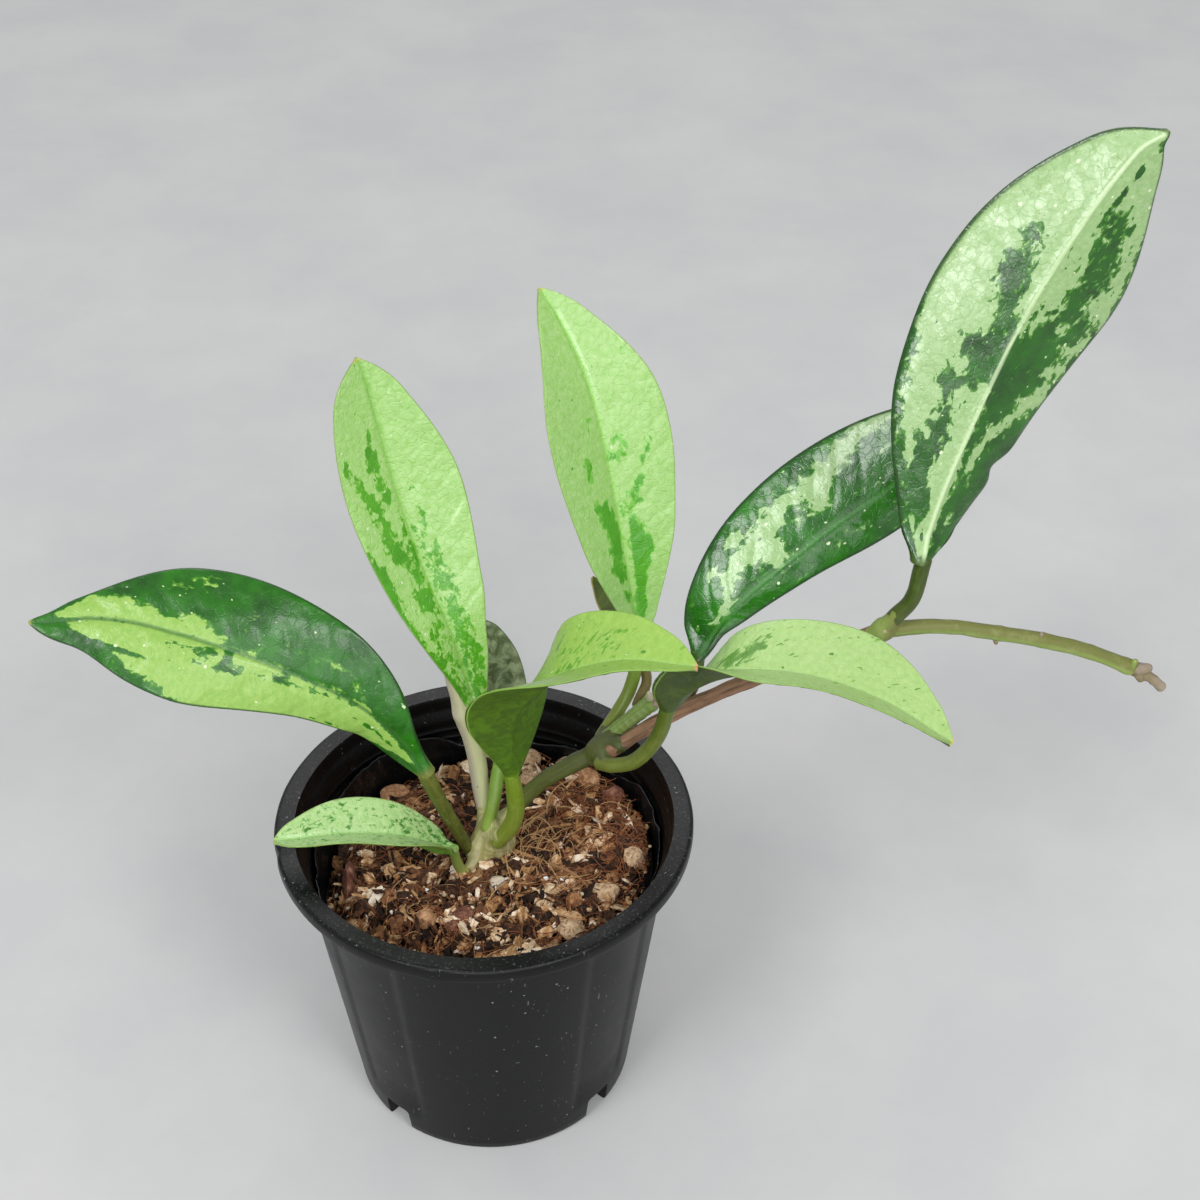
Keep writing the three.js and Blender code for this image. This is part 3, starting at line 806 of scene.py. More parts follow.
@dataclass
class Leaf:
    """One thick leaf blade, swept along its midrib and built as a closed shell.

    spine runs from base to tip. face and face_tip say which way the upper side looks at each end,
    turning over the first settle of the length. right and left are half-widths, seen from above
    with the tip ahead. fold is how steeply the halves rise from the midrib and cup is how far the
    margins roll up, or down.
    """

    name: str
    slot: str
    finish: LeafFinish
    spine: tuple[Point, ...]
    face: Point
    face_tip: Point
    right: tuple[float, ...]
    left: tuple[float, ...]
    fold: float
    cup: float = 0.0
    settle: float = 1.0
    rib: tuple[tuple[float, float], ...] = ((0.0, 0.0), (1.0, 0.0))
    nicks: tuple[Nick, ...] = ()
    plain: float = 1.0  # splash where no mark is
    marks: tuple[Mark, ...] = ()
    hook: float = 0.0  # how far the tip bends to the right
    raised_rib: float = -0.3  # height of the midrib on the upper side, or depth of its groove
    vein_height: float = -0.12  # the same for the side veins
    pucker: float = 0.18  # how far the skin swells between them
    collar: float = 1.8  # radius of the round stalk that the blade opens from
    funnel: float = 0.05  # share of the length over which it opens
    seed: float = 0.0
    thickness: float = 1.3
    tip_half: float = 0.3
    rows: int = 190
    columns: int = 96

    def half_widths(self, station: Array, along: Array, side: Array) -> Array:
        """The half-width on each point's own side, with the nicks drawn in."""
        halves = np.zeros_like(station)
        for sign, widths in ((1, self.right), (-1, self.left)):
            values = np.array([self.collar, *widths, self.tip_half])
            last = len(values) - 1
            leg = np.minimum((station * last).astype(int), last - 1)
            w = station * last - leg
            p0, p1 = values[np.maximum(leg - 1, 0)], values[leg]
            p2 = values[leg + 1]
            p3 = np.where(leg == last - 1, p1, values[np.minimum(leg + 2, last)])  # a pointed tip
            v0, v1 = (p2 - p0) / 2, (p3 - p1) / 2
            curve = (2 * p1 - 2 * p2 + v0 + v1) * w**3 + (-3 * p1 + 3 * p2 - 2 * v0 - v1) * w * w
            curve = curve + v0 * w + p1
            for nick in self.nicks:
                if nick.side == sign:
                    curve = curve * (1 - nick.depth * np.exp(-(((along - nick.along) / nick.reach) ** 2)))
            halves = np.where((side > 0) == (sign > 0), curve, halves)
        return self.collar + (halves - self.collar) * smooth(-0.5 * self.funnel, self.funnel, along)

    def build(self) -> Piece:
        """Builds the blade.

        Returns:
            The finished piece.
        """
        bm = bmesh.new()
        bmesh.ops.create_grid(bm, x_segments=self.columns, y_segments=self.rows, size=0.5)
        copy = bmesh.ops.duplicate(bm, geom=bm.verts[:] + bm.edges[:] + bm.faces[:])["geom"]
        lower = [g for g in copy if isinstance(g, bmesh.types.BMVert)]
        bmesh.ops.translate(bm, verts=lower, vec=(0, 0, -1))
        bmesh.ops.reverse_faces(bm, faces=[g for g in copy if isinstance(g, bmesh.types.BMFace)])
        mesh = mesh_from(bm, self.name)
        grid = get_points(mesh)
        station = grid[:, 1] + 0.5
        side = np.sin(grid[:, 0] * math.pi)
        under = grid[:, 2] < -0.5
        along = (1 - np.cos(math.pi * station)) / 2
        self.shape(mesh, station, along, side, under)
        return finish_piece(self.name, join_seams(mesh), self.finish.build(), [self.name])

    def shape(self, mesh: Mesh, station: Array, along: Array, side: Array, under: Array) -> None:
        """Moves the two sheets to the blade's surfaces and writes its map and attributes.

        Args:
            mesh: the two flat sheets.
            station: 0 to 1 from base to tip, closer together towards both ends.
            along: the share of the midrib's length.
            side: -1 at the left margin to 1 at the right one.
            under: True on the lower sheet.
        """
        _, lengths, places = Route(self.spine).trace()
        neck = smooth(1.6 * self.funnel, 0, along)
        centre, tangent = along_route(lengths, places, along * lengths[-1] - 1.2 * neck**3)
        turn = smooth(0, self.settle, along)[:, None]
        up = np.array(self.face) * (1 - turn) + np.array(self.face_tip) * turn
        up = unit(up - np.sum(up * tangent, -1, keepdims=True) * tangent)
        out = np.cross(tangent, up)
        half = self.half_widths(station, along, side)
        ridge = np.interp(along, *np.array(self.rib).T)
        leaned = np.where(side > ridge, (side - ridge) / (1 - ridge), (side - ridge) / (1 + ridge))
        widest = max(*self.right, *self.left)
        lift = half * self.fold * np.abs(leaned) + self.cup * (half / widest) * side * side
        across = half * side
        from_rib = np.abs(half * (side - ridge))
        thick = self.thickness * (1 - 0.45 * side * side)
        ends = np.clip(1 - np.abs(2 * station - 1) ** 90, 0, 1)
        rounded = np.sqrt(np.clip(1 - np.abs(side) ** 26, 0, 1) * ends)
        flat = np.stack([across, along * lengths[-1], np.full_like(across, self.seed * 40)], -1)
        lift = lift + self.swell(flat, from_rib, along, side, half)
        groove = self.raised_rib * np.exp(-((from_rib / 0.8) ** 2)) * smooth(1.0, 0.9, along)
        keel = (0.3 + 1.3 * (1 - along) ** 3) * np.exp(-((from_rib / (0.8 + 0.9 * (1 - along))) ** 2))
        arch = self.collar * np.sqrt(np.clip(1 - side * side, 0, 1)) * np.sqrt(ends)
        top = lift - (1 - rounded) * thick / 2 + groove * rounded
        bottom = lift - thick + (1 - rounded) * thick / 2 - keel * rounded
        top = top + (arch - top) * neck**2
        bottom = bottom + (-arch - bottom) * neck
        bend = self.hook * smooth(0.93, 1.0, along) ** 2
        height = np.where(under, bottom, top)
        set_points(mesh, centre + out * (across + bend)[:, None] + up * height[:, None])
        set_uv(mesh, "blade", flat[:, :2] * MM + self.seed)
        slanted = np.stack([flat[:, 1] - 0.9 * from_rib, from_rib + 60 * (side > ridge)], -1)
        set_uv(mesh, "veins", slanted * MM + self.seed)
        from_margin = half * (1 - np.abs(side)) + 0.5 * smooth(0.06, 0.0, along)
        set_vectors(mesh, "lay", np.stack([from_rib, from_margin, along], -1))
        splash = np.full_like(along, self.plain)
        for mark in self.marks:
            splash += (mark.shade - splash) * mark.cover(along, side)
        upper = np.where(under, smooth(0.3, 0.0, from_margin), 1.0)
        set_vectors(mesh, "paint", np.stack([splash, upper, np.zeros_like(upper)], -1))

    def swell(self, flat: Array, from_rib: Array, along: Array, side: Array, half: Array) -> Array:
        """The blade's own unevenness: side veins, puckers between them and a wavy margin.

        Args:
            flat: places on the unrolled blade, in millimetres.
            from_rib: millimetres from the midrib.
            along: the share of the midrib's length.
            side: -1 at the left margin to 1 at the right one.
            half: the half-width at each point.

        Returns:
            How far each point is lifted, in millimetres.
        """
        inner = smooth(0.5, 3.0, from_rib) * smooth(0.0, 0.08, 1 - np.abs(side)) * smooth(0, 0.08, along)
        pitch = 6.5  # millimetres from one side vein to the next
        count = (
            flat[:, 1] - 0.75 * from_rib + 1.5 * np.sign(side)
        ) / pitch + 0.4 * rough(flat, 14, self.seed)
        from_vein = np.abs(count - np.round(count)) * pitch
        veins = self.vein_height * np.exp(-((from_vein / 0.6) ** 2))
        puckers = self.pucker * (rough(flat, 5, self.seed + 1) + 0.4 * rough(flat, 2.4, self.seed + 4))
        wave = 0.55 * rough(flat * (0.02, 1, 1) + (0, 0, 9) * np.sign(side)[:, None], 16, self.seed + 2)
        sway = 0.5 * rough(flat, 26, self.seed + 3) * smooth(0, 0.1, along)
        return (veins + puckers) * inner + (wave * np.abs(side) ** 3 + sway) * smooth(0, 12, half)


# ------------------------------------------------------------------ stems
@dataclass(frozen=True)
class Swelling:
    """A thickening of a stem: share of the length, height and reach in millimetres, and its side.

    turn is the way it faces, in degrees round the stem, or None for one that goes all round.
    """

    along: float
    height: float
    reach: float
    turn: float | None = None


@dataclass
class Stem:
    """A living stem or petiole: a tapered tube along a smooth curve, with its swellings and ribs."""

    name: str
    slot: str
    finish: RindFinish
    points: tuple[Point, ...]
    radii: tuple[float, ...]
    start_run: float = 0.8  # how far it runs on into what carries it
    end_run: float = 0.8
    swellings: tuple[Swelling, ...] = ()
    ribs: int = 0
    rib_depth: float = 0.0
    uneven: float = 0.1
    seed: float = 0.0
    sides: int = 32
    step: float = 0.5

    def build(self) -> Piece:
        """Builds the stem.

        Returns:
            The finished piece.
        """
        parameter, lengths, places = Route(self.points).trace()
        total = lengths[-1] + self.start_run + self.end_run
        rows = max(12, round(total / self.step))
        mesh = grid_mesh(self.name, self.sides, rows)
        grid = get_points(mesh)
        share = grid[:, 1] + 0.5
        eased = share + 0.5 * (np.sin(FULL_TURN * share) / -FULL_TURN) * min(1, 8 / rows)
        distance = eased * total - self.start_run
        angle = (grid[:, 0] + 0.5) * FULL_TURN
        centre, tangent = along_route(lengths, places, distance)
        across = unit(np.cross(tangent, unit(np.array([[0.12, 1, 0.08]]))))
        other = np.cross(across, tangent)
        radius = self.radius(parameter, lengths, distance, angle)
        to_end = np.minimum(distance + self.start_run, lengths[-1] + self.end_run - distance)
        cap = np.sqrt(np.clip(1 - (1 - np.clip(to_end / (0.9 * radius), 0, 1)) ** 2, 0, 1))
        spread = radius * cap
        spot = centre + across * (spread * np.cos(angle))[:, None] + other * (spread * np.sin(angle))[:, None]
        set_points(mesh, spot)
        mean = float(np.mean(self.radii))
        set_uv(mesh, "rind", np.stack([angle * mean, distance + self.seed * 50], -1) * MM)
        # 1 on the side that the finish may colour as painted shade, 0 on the other
        painted_shade_side = 0.5 + 0.5 * np.cos(angle)
        where = np.clip(distance / lengths[-1], 0, 1)
        set_vectors(mesh, "lay", np.stack([where, painted_shade_side, np.zeros_like(painted_shade_side)], -1))
        return finish_piece(self.name, join_seams(mesh), self.finish.build(), [self.name])

    def radius(self, parameter: Array, lengths: Array, distance: Array, angle: Array) -> Array:
        """The stem's radius at each point, in millimetres."""
        t = np.interp(distance, lengths, parameter)
        radius = np.interp(t, np.linspace(0, 1, len(self.radii)), self.radii)
        for swelling in self.swellings:
            away = (distance - swelling.along * lengths[-1]) / swelling.reach
            bump = swelling.height * np.exp(-(away**2))
            if swelling.turn is not None:
                facing = np.cos(angle - math.radians(swelling.turn))
                bump = bump * np.clip(facing, 0, 1) ** 2
            radius = radius + bump
        if self.ribs:
            radius = radius + self.rib_depth * np.cos(self.ribs * angle + 0.05 * distance)
        round_it = np.stack([3 * np.cos(angle), 3 * np.sin(angle), distance * 0.5], -1)
        return radius + self.uneven * rough(round_it, 2.2, self.seed)


@dataclass(frozen=True)
class Arm:
    """One shoot's foot in a knuckle: how far it reaches, and its radius at the middle and the end."""

    end: Point
    thick: float
    thin: float


HALVINGS = 16  # steps of the search for a knuckle's skin


@dataclass
class Knuckle:
    """A node of the stem, where several shoots run together into one smooth lump.

    Its skin is where the blended distance to all the arms is nought, found outwards from the
    centre, which every arm starts from.
    """

    name: str
    slot: str
    finish: RindFinish
    centre: Point
    arms: tuple[Arm, ...]
    nodes: tuple[str, ...] = ()
    blend: float = 0.6  # millimetres over which the arms melt together
    uneven: float = 0.2
    detail: int = 6
    seed: float = 0.0

    def gap(self, places: Array) -> Array:
        """The blended distance from each place to the arms, in millimetres: negative inside."""
        centre = np.array(self.centre)
        total = np.zeros(len(places))
        for arm in self.arms:
            axis = np.array(arm.end) - centre
            share = np.clip((places - centre) @ axis / (axis @ axis), 0, 1)
            away = np.linalg.norm(places - centre - share[:, None] * axis, axis=-1)
            total += np.exp(-(away - arm.thick - (arm.thin - arm.thick) * share) / self.blend)
        return -self.blend * np.log(total + 1e-12)

    def build(self) -> Piece:
        """Builds the knuckle from a sphere whose points move out to the skin."""
        mesh = ball_mesh(self.name, self.detail)
        way = unit(get_points(mesh))
        centre = np.array(self.centre)
        reach = np.zeros(len(way))
        stride = 12.0
        for _ in range(HALVINGS):
            stride /= 2
            further = reach + stride
            reach = np.where(self.gap(centre + way * further[:, None]) < 0, further, reach)
        places = centre + way * reach[:, None]
        bumps = rough(places, 2.6, self.seed) + 0.35 * rough(places, 0.9, self.seed + 1)
        places = places + way * (self.uneven * bumps)[:, None]
        set_points(mesh, places)
        turn = np.arctan2(way[:, 1], way[:, 0])
        set_uv(mesh, "rind", np.stack([turn * 4, places[:, 2]], -1) * MM)
        low, high = places[:, 2].min(), places[:, 2].max()
        height = np.clip((places[:, 2] - low) / (high - low), 0, 1)
        # the second value is 1 on the +X side, which the finish may colour as painted shade
        set_vectors(mesh, "lay", np.stack([height, 0.5 + 0.5 * way[:, 0], height * 0], -1))
        return finish_piece(self.name, mesh, self.finish.build(), self.nodes)


# ------------------------------------------------------------------ pot
@dataclass
class Pot:
    """The nursery pot: a tapered moulded wall, a flat rim with a dropped lip, four drain channels."""

    finish: PlasticFinish
    height: float = 86.0
    rim_radius: float = 53.0
    rim_band: float = 5.4
    rim_drop: float = 3.8
    base_radius: float = 37.0
    taper: float = 0.128
    wall: float = 1.4
    floor: float = 1.8
    channel_count: int = 4
    channel_width: float = 8.0
    channel_height: float = 8.0
    channel_reach: float = 20.0
    channel_turn: float = 45.0  # degrees from +X to the first channel
    sharp_angle: float = 38.0  # degrees; a steeper edge is shaded as an edge
    slot_size: tuple[float, float] = (8.0, 3.6)
    panel: tuple[float, float, float, float] = (13.0, 0.5, 12.0, 76.0)  # half angle, depth, low, high
    sides: int = 256

    def wall_radius(self, z: float) -> float:
        """Radius of the outside of the wall at a height."""
        return self.base_radius + self.taper * z

    def outside(self) -> list[tuple[float, float]]:
        """The outline of the solid pot, from the middle of its foot to the middle of its top."""
        neck = self.height - self.rim_drop
        points = [(0.0, 0.0), (self.base_radius - 1.0, 0.0), (self.base_radius - 0.3, 0.25)]
        points += [(self.wall_radius(z), z) for z in (1.0, 3.0, 6.0, 9.0)]
        low, high = self.panel[2], self.panel[3]
        points += [(self.wall_radius(z), z) for z in np.linspace(low, high, 9)]
        points += [(self.wall_radius(neck - 1.2), neck - 1.2), (self.wall_radius(neck) + 0.2, neck - 0.2)]
        points += [(self.wall_radius(neck) + 0.9, neck), (self.rim_radius - 0.7, neck)]
        points += [(self.rim_radius - 0.2, neck + 0.2), (self.rim_radius, neck + 0.7)]
        for turn in range(5):
            angle = math.radians(22.5 * turn)
            points.append((self.rim_radius - 1 + math.cos(angle), self.height - 1 + math.sin(angle)))
        mouth = self.rim_radius - self.rim_band
        points += [
            (mouth + 2.4, self.height - 0.1), (mouth + 0.5, self.height - 0.25), (0.0, self.height - 0.25),
        ]
        return points

    def hollow(self) -> list[tuple[float, float]]:
        """The outline of the space inside, with the faint rings of the mould near its top."""
        neck = self.height - self.rim_drop
        mouth = self.rim_radius - self.rim_band
        points = [(0.0, self.floor), (self.wall_radius(self.floor) - self.wall - 1, self.floor)]
        points += [(self.wall_radius(self.floor + 1) - self.wall, self.floor + 1)]
        points += [(self.wall_radius(40) - self.wall, 40.0)]
        ring_pitch, ring_depth = 2.6, 0.22
        for ring in range(5):
            z = 66 + ring_pitch * ring
            points.append((self.wall_radius(z) - self.wall, z))
            points.append((self.wall_radius(z + 0.8) - self.wall + ring_depth, z + 0.5))
            points.append((self.wall_radius(z + 1.6) - self.wall + ring_depth, z + 1.6))
        points += [(self.wall_radius(neck - 2.5) - self.wall, neck - 2.5), (mouth - 0.5, neck - 0.8)]
        points += [(mouth - 0.1, neck + 0.6), (mouth, self.height - 1.2), (mouth + 0.3, self.height - 0.5)]
        points += [(mouth + 0.9, self.height + 1), (0.0, self.height + 1)]
        return points

    def held(self, bm: bmesh.types.BMesh) -> Piece:
        """Puts a bmesh in an object of its own, for the cuts."""
        return in_scene("pot_work", mesh_from(bm, "pot_work"))

    def blocks(self, grow: float, corner: float) -> Piece:
        """The four drain channels as solids, with rounded upper corners.

        Args:
            grow: how far they grow on each side and on top.
            corner: the radius of their upper corners.
        """
        bm = bmesh.new()
        outer = self.rim_radius
        length = outer - self.channel_reach + grow
        height = self.channel_height + grow
        for index in range(self.channel_count):
            size = Matrix.Diagonal((length * MM, (self.channel_width + 2 * grow) * MM, (height + 1) * MM, 1))
            middle = ((self.channel_reach - grow + length / 2) * MM, 0, (height - 1) / 2 * MM)
            turn = Matrix.Rotation(math.radians(self.channel_turn + 360 / self.channel_count * index), 4, "Z")
            made = bmesh.ops.create_cube(bm, size=1, matrix=turn @ Matrix.Translation(middle) @ size)
            top = max(v.co.z for v in made["verts"])
            along = dict.fromkeys(
                e for v in made["verts"] for e in v.link_edges
                if all(w.co.z > top - MERGE for w in e.verts)
            )
            bmesh.ops.bevel(
                bm, geom=list(along), offset=corner * MM, segments=4, profile=0.5, affect="EDGES",
                material=-1,
            )
        return self.held(bm)

    def slots(self) -> Piece:
        """The slots that let water through the roofs of the channels."""
        bm = bmesh.new()
        length, width = self.slot_size
        for index in range(self.channel_count):
            size = Matrix.Diagonal((length * MM, width * MM, self.channel_height * MM, 1))
            middle = Matrix.Translation(((self.channel_reach + length) * MM, 0, self.channel_height * MM))
            turn = Matrix.Rotation(math.radians(self.channel_turn + 360 / self.channel_count * index), 4, "Z")
            made = bmesh.ops.create_cube(bm, size=1, matrix=turn @ middle @ size)
            upright = dict.fromkeys(
                e for v in made["verts"] for e in v.link_edges
                if abs(e.verts[0].co.z - e.verts[1].co.z) > MERGE
            )
            bmesh.ops.bevel(
                bm, geom=list(upright), offset=width / 2.2 * MM, segments=4, profile=0.5, affect="EDGES",
                material=-1,
            )
        return self.held(bm)

    def cut(self, body: Piece, tool: Piece) -> Piece:
        """Takes one solid away from another, and throws both away."""
        modifier = body.modifiers.new("cut", "BOOLEAN")
        modifier.operation = "DIFFERENCE"
        modifier.solver = "EXACT"
        modifier.object = tool
        ready = bpy.context.evaluated_depsgraph_get()
        mesh = bpy.data.meshes.new_from_object(body.evaluated_get(ready))
        for used in (body, tool):
            bpy.data.objects.remove(used)
        return in_scene("pot_work", mesh)

    def build(self) -> Piece:
        """Builds the pot: a solid less its hollow, its channels and its slots."""
        solid = self.held(turned_solid(self.outside(), self.sides))
        places = get_points(solid.data) / MM
        set_points(solid.data, self.panelled(places))
        hollow = self.held(turned_solid(self.hollow(), self.sides))
        cavity = self.cut(hollow, self.blocks(self.wall, 1.6))
        solid = self.cut(solid, cavity)
        solid = self.cut(solid, self.blocks(0, 1.2))
        solid = self.cut(solid, self.slots())
        mesh = solid.data.copy()
        bpy.data.objects.remove(solid)
        places = get_points(mesh) / MM
        set_points(mesh, self.knocked(places))
        pot = finish_piece("pot", mesh, self.finish.build(), ["pot"])
        mesh.set_sharp_from_angle(angle=math.radians(self.sharp_angle))
        return pot

    def panelled(self, places: Array) -> Array:
        """Draws in the shallow panel above each channel."""
        half_angle, depth, low, high = self.panel
        pitch = 360 / self.channel_count
        angle = (np.degrees(np.arctan2(places[:, 1], places[:, 0])) + 720 - self.channel_turn) % pitch
        away = np.minimum(angle, pitch - angle)
        inside = (1 - smooth(half_angle, half_angle + 1.6, away)) * (places[:, 2] > low - 0.1)
        inside = inside * (places[:, 2] < high + 0.1)
        radius = np.maximum(np.hypot(places[:, 0], places[:, 1]), 1.0)
        scale = 1 - depth * inside / radius
        return places * np.stack([scale, scale, np.ones_like(scale)], -1)

    def knocked(self, places: Array) -> Array:
        """Wears the rim: a cracked spot at its left and a few slight dents."""
        angle = np.degrees(np.arctan2(places[:, 1], places[:, 0]))
        radius = np.maximum(np.hypot(places[:, 0], places[:, 1]), 1.0)
        on_lip = smooth(self.height - self.rim_drop - 0.2, self.height - 2.4, places[:, 2]) * (radius > 50)
        dent = 0.7 * np.exp(-(((np.abs(angle) - 171) / 2.2) ** 2)) * (angle < 0)
        dent = dent + 0.3 * np.exp(-(((angle + 104) / 2.0) ** 2))
        wobble = 0.12 * np.sin(np.radians(angle) * 3 + 1) + 0.06 * np.sin(np.radians(angle) * 17)
        inward = (dent + wobble * 0.5 + 0.09) * on_lip
        scale = 1 - np.maximum(inward, 0) / radius
        moved = places * np.stack([scale, scale, np.ones_like(scale)], -1)
        moved[:, 2] -= np.maximum(0.8 * dent, 0) * on_lip * (places[:, 2] > self.height - 2)
        return moved


@dataclass
class Liner:
    """The thin crinkled film between the wall and the mix, with its wavy upper edge."""

    finish: PlasticFinish
    pot: Pot
    gap: float = 0.35
    low: float = 30.0
    top: float = 74.0
    crinkle: float = 2.2
    thickness: float = 0.3

    def edge(self, angle: Array) -> Array:
        """Height of the upper edge, by angle in radians."""
        fold = np.sin(3 * angle + 0.8) + 0.6 * np.sin(7 * angle) + 0.4 * np.sin(13 * angle + 2)
        return self.top + self.crinkle * fold

    def build(self) -> Piece:
        """Builds the film as a crinkled sleeve with a real thickness."""
        mesh = grid_mesh("inner_liner", 420, 56)
        grid = get_points(mesh)
        angle = (grid[:, 0] + 0.5) * FULL_TURN
        share = (grid[:, 1] + 0.5) ** 0.7
        turn = np.stack([np.cos(angle), np.sin(angle)], -1)
        seam = np.stack([turn[:, 0] * 45, turn[:, 1] * 45, share * 44], -1)
        ragged = 0.5 * rough(seam * (1, 1, 0), 2.2, 5) + 1.0 * rough(seam * (1, 1, 0), 7, 6)
        z = self.low + (self.edge(angle) + ragged - self.low) * share
        folds = 0.9 * np.abs(rough(seam * (1, 1, 0.35), 6.5, 7)) + 0.45 * np.abs(rough(seam, 2.6, 8))
        loose = smooth(60, 72, z)
        radius = self.pot.wall_radius(z) - self.pot.wall - self.gap - 0.1 - folds * loose
        left = np.exp(-(((np.degrees(angle) - 212) / 20) ** 2))
        radius = radius - 1.5 * left * smooth(68, 77, z)
        set_points(mesh, np.stack([turn[:, 0] * radius, turn[:, 1] * radius, z], -1))
        bm = bmesh.new()
        bm.from_mesh(mesh)
        bmesh.ops.remove_doubles(bm, verts=bm.verts, dist=MERGE)
        bmesh.ops.recalc_face_normals(bm, faces=bm.faces)
        bmesh.ops.solidify(bm, geom=bm.faces[:], thickness=self.thickness * MM)
        bmesh.ops.recalc_face_normals(bm, faces=bm.faces)
        bm.to_mesh(mesh)
        bm.free()
        return finish_piece("inner_liner", mesh, self.finish.build(), ["inner_liner"])


# ------------------------------------------------------------------ potting mix
@dataclass(frozen=True)
class Ground:
    """The lie of the potting mix: heaped to the right, with a hollow against the left wall."""

    pot: Pot
    level: float = 68.5
    slope: float = 0.1
    heap: float = 1.1
    hollow: float = 7.0

    def height(self, x: Array | float, y: Array | float) -> Array | float:
        """Height of the mix at a place."""
        away = np.hypot(x + 6, y - 6)
        sunk = self.hollow * smooth(26, 42, away) * smooth(8, -30, x)
        heap = self.heap * np.sin(0.19 * x + 1) * np.cos(0.16 * y)
        return self.level + self.slope * x + heap - sunk

    def reach(self, z: float) -> float:
        """How far from the axis the mix goes at a height."""
        return self.pot.wall_radius(z) - self.pot.wall - 1.5

    def spot(self, rng: random.Random, margin: float = 0.0) -> tuple[float, float]:
        """Picks an even random place on the mix, as x and y."""
        reach = self.reach(68) - margin
        radius = reach * math.sqrt(rng.random())
        angle = rng.uniform(0, FULL_TURN)
        return radius * math.cos(angle), radius * math.sin(angle)


@dataclass
class Mound:
    """The body of the potting mix: dark fines and crumbs, darkened to near black as painted shade in the gaps
    between the chips.
    """

    ground: Ground
    finish: BrokenFinish
    rings: int = 58
    steps: int = 330
    sunk: float = 3.6

    def build(self) -> Piece:
        """Turns the mound's outline and roughens its top."""
        pot = self.ground.pot
        shoulder = self.ground.reach(60)
        bottom = pot.floor + 0.3
        outline = [(0.0, bottom), (pot.wall_radius(bottom) - pot.wall - 1.6, bottom)]
        outline += [(self.ground.reach(z), float(z)) for z in (12, 24, 36, 48, 60)]
        outline += [(shoulder * ring / self.rings, 61.0) for ring in range(self.rings, -1, -1)]
        mesh = mesh_from(turned_solid(outline, self.steps), "potting_mix")
        places = get_points(mesh) / MM
        top = places[:, 2] > 60.5
        x, y = places[:, 0], places[:, 1]
        level = np.stack([x, y, 0 * x], -1)
        lumps = 1.3 * rough(level, 7, 1) + 0.8 * rough(level, 3.2, 2) + 0.4 * rough(level, 1.5, 3)
        height = self.ground.height(x, y) - self.sunk + lumps
        places[:, 2] = np.where(top, height, places[:, 2])
        stretched = np.where(top, self.ground.reach(68) / shoulder, 1.0)
        places[:, 0] *= stretched
        places[:, 1] *= stretched
        set_points(mesh, places)
        return finish_piece("potting_mix", mesh, self.finish.build(), ["potting_mix"])


class ChipShape(Enum):
    """How a chip of the mix is broken: (length, width, thickness) ranges in millimetres."""

    FLAKE = ((3.0, 8.4), (2.2, 5.2), (0.5, 1.3))
    BLOCK = ((3.2, 6.6), (2.4, 4.6), (1.6, 3.2))
    SLIVER = ((4.0, 10.0), (0.6, 1.3), (0.4, 0.9))
    CRUMB = ((0.8, 2.4), (0.7, 2.0), (0.6, 1.6))
    GRIT = ((0.9, 1.9), (0.8, 1.7), (0.7, 1.4))


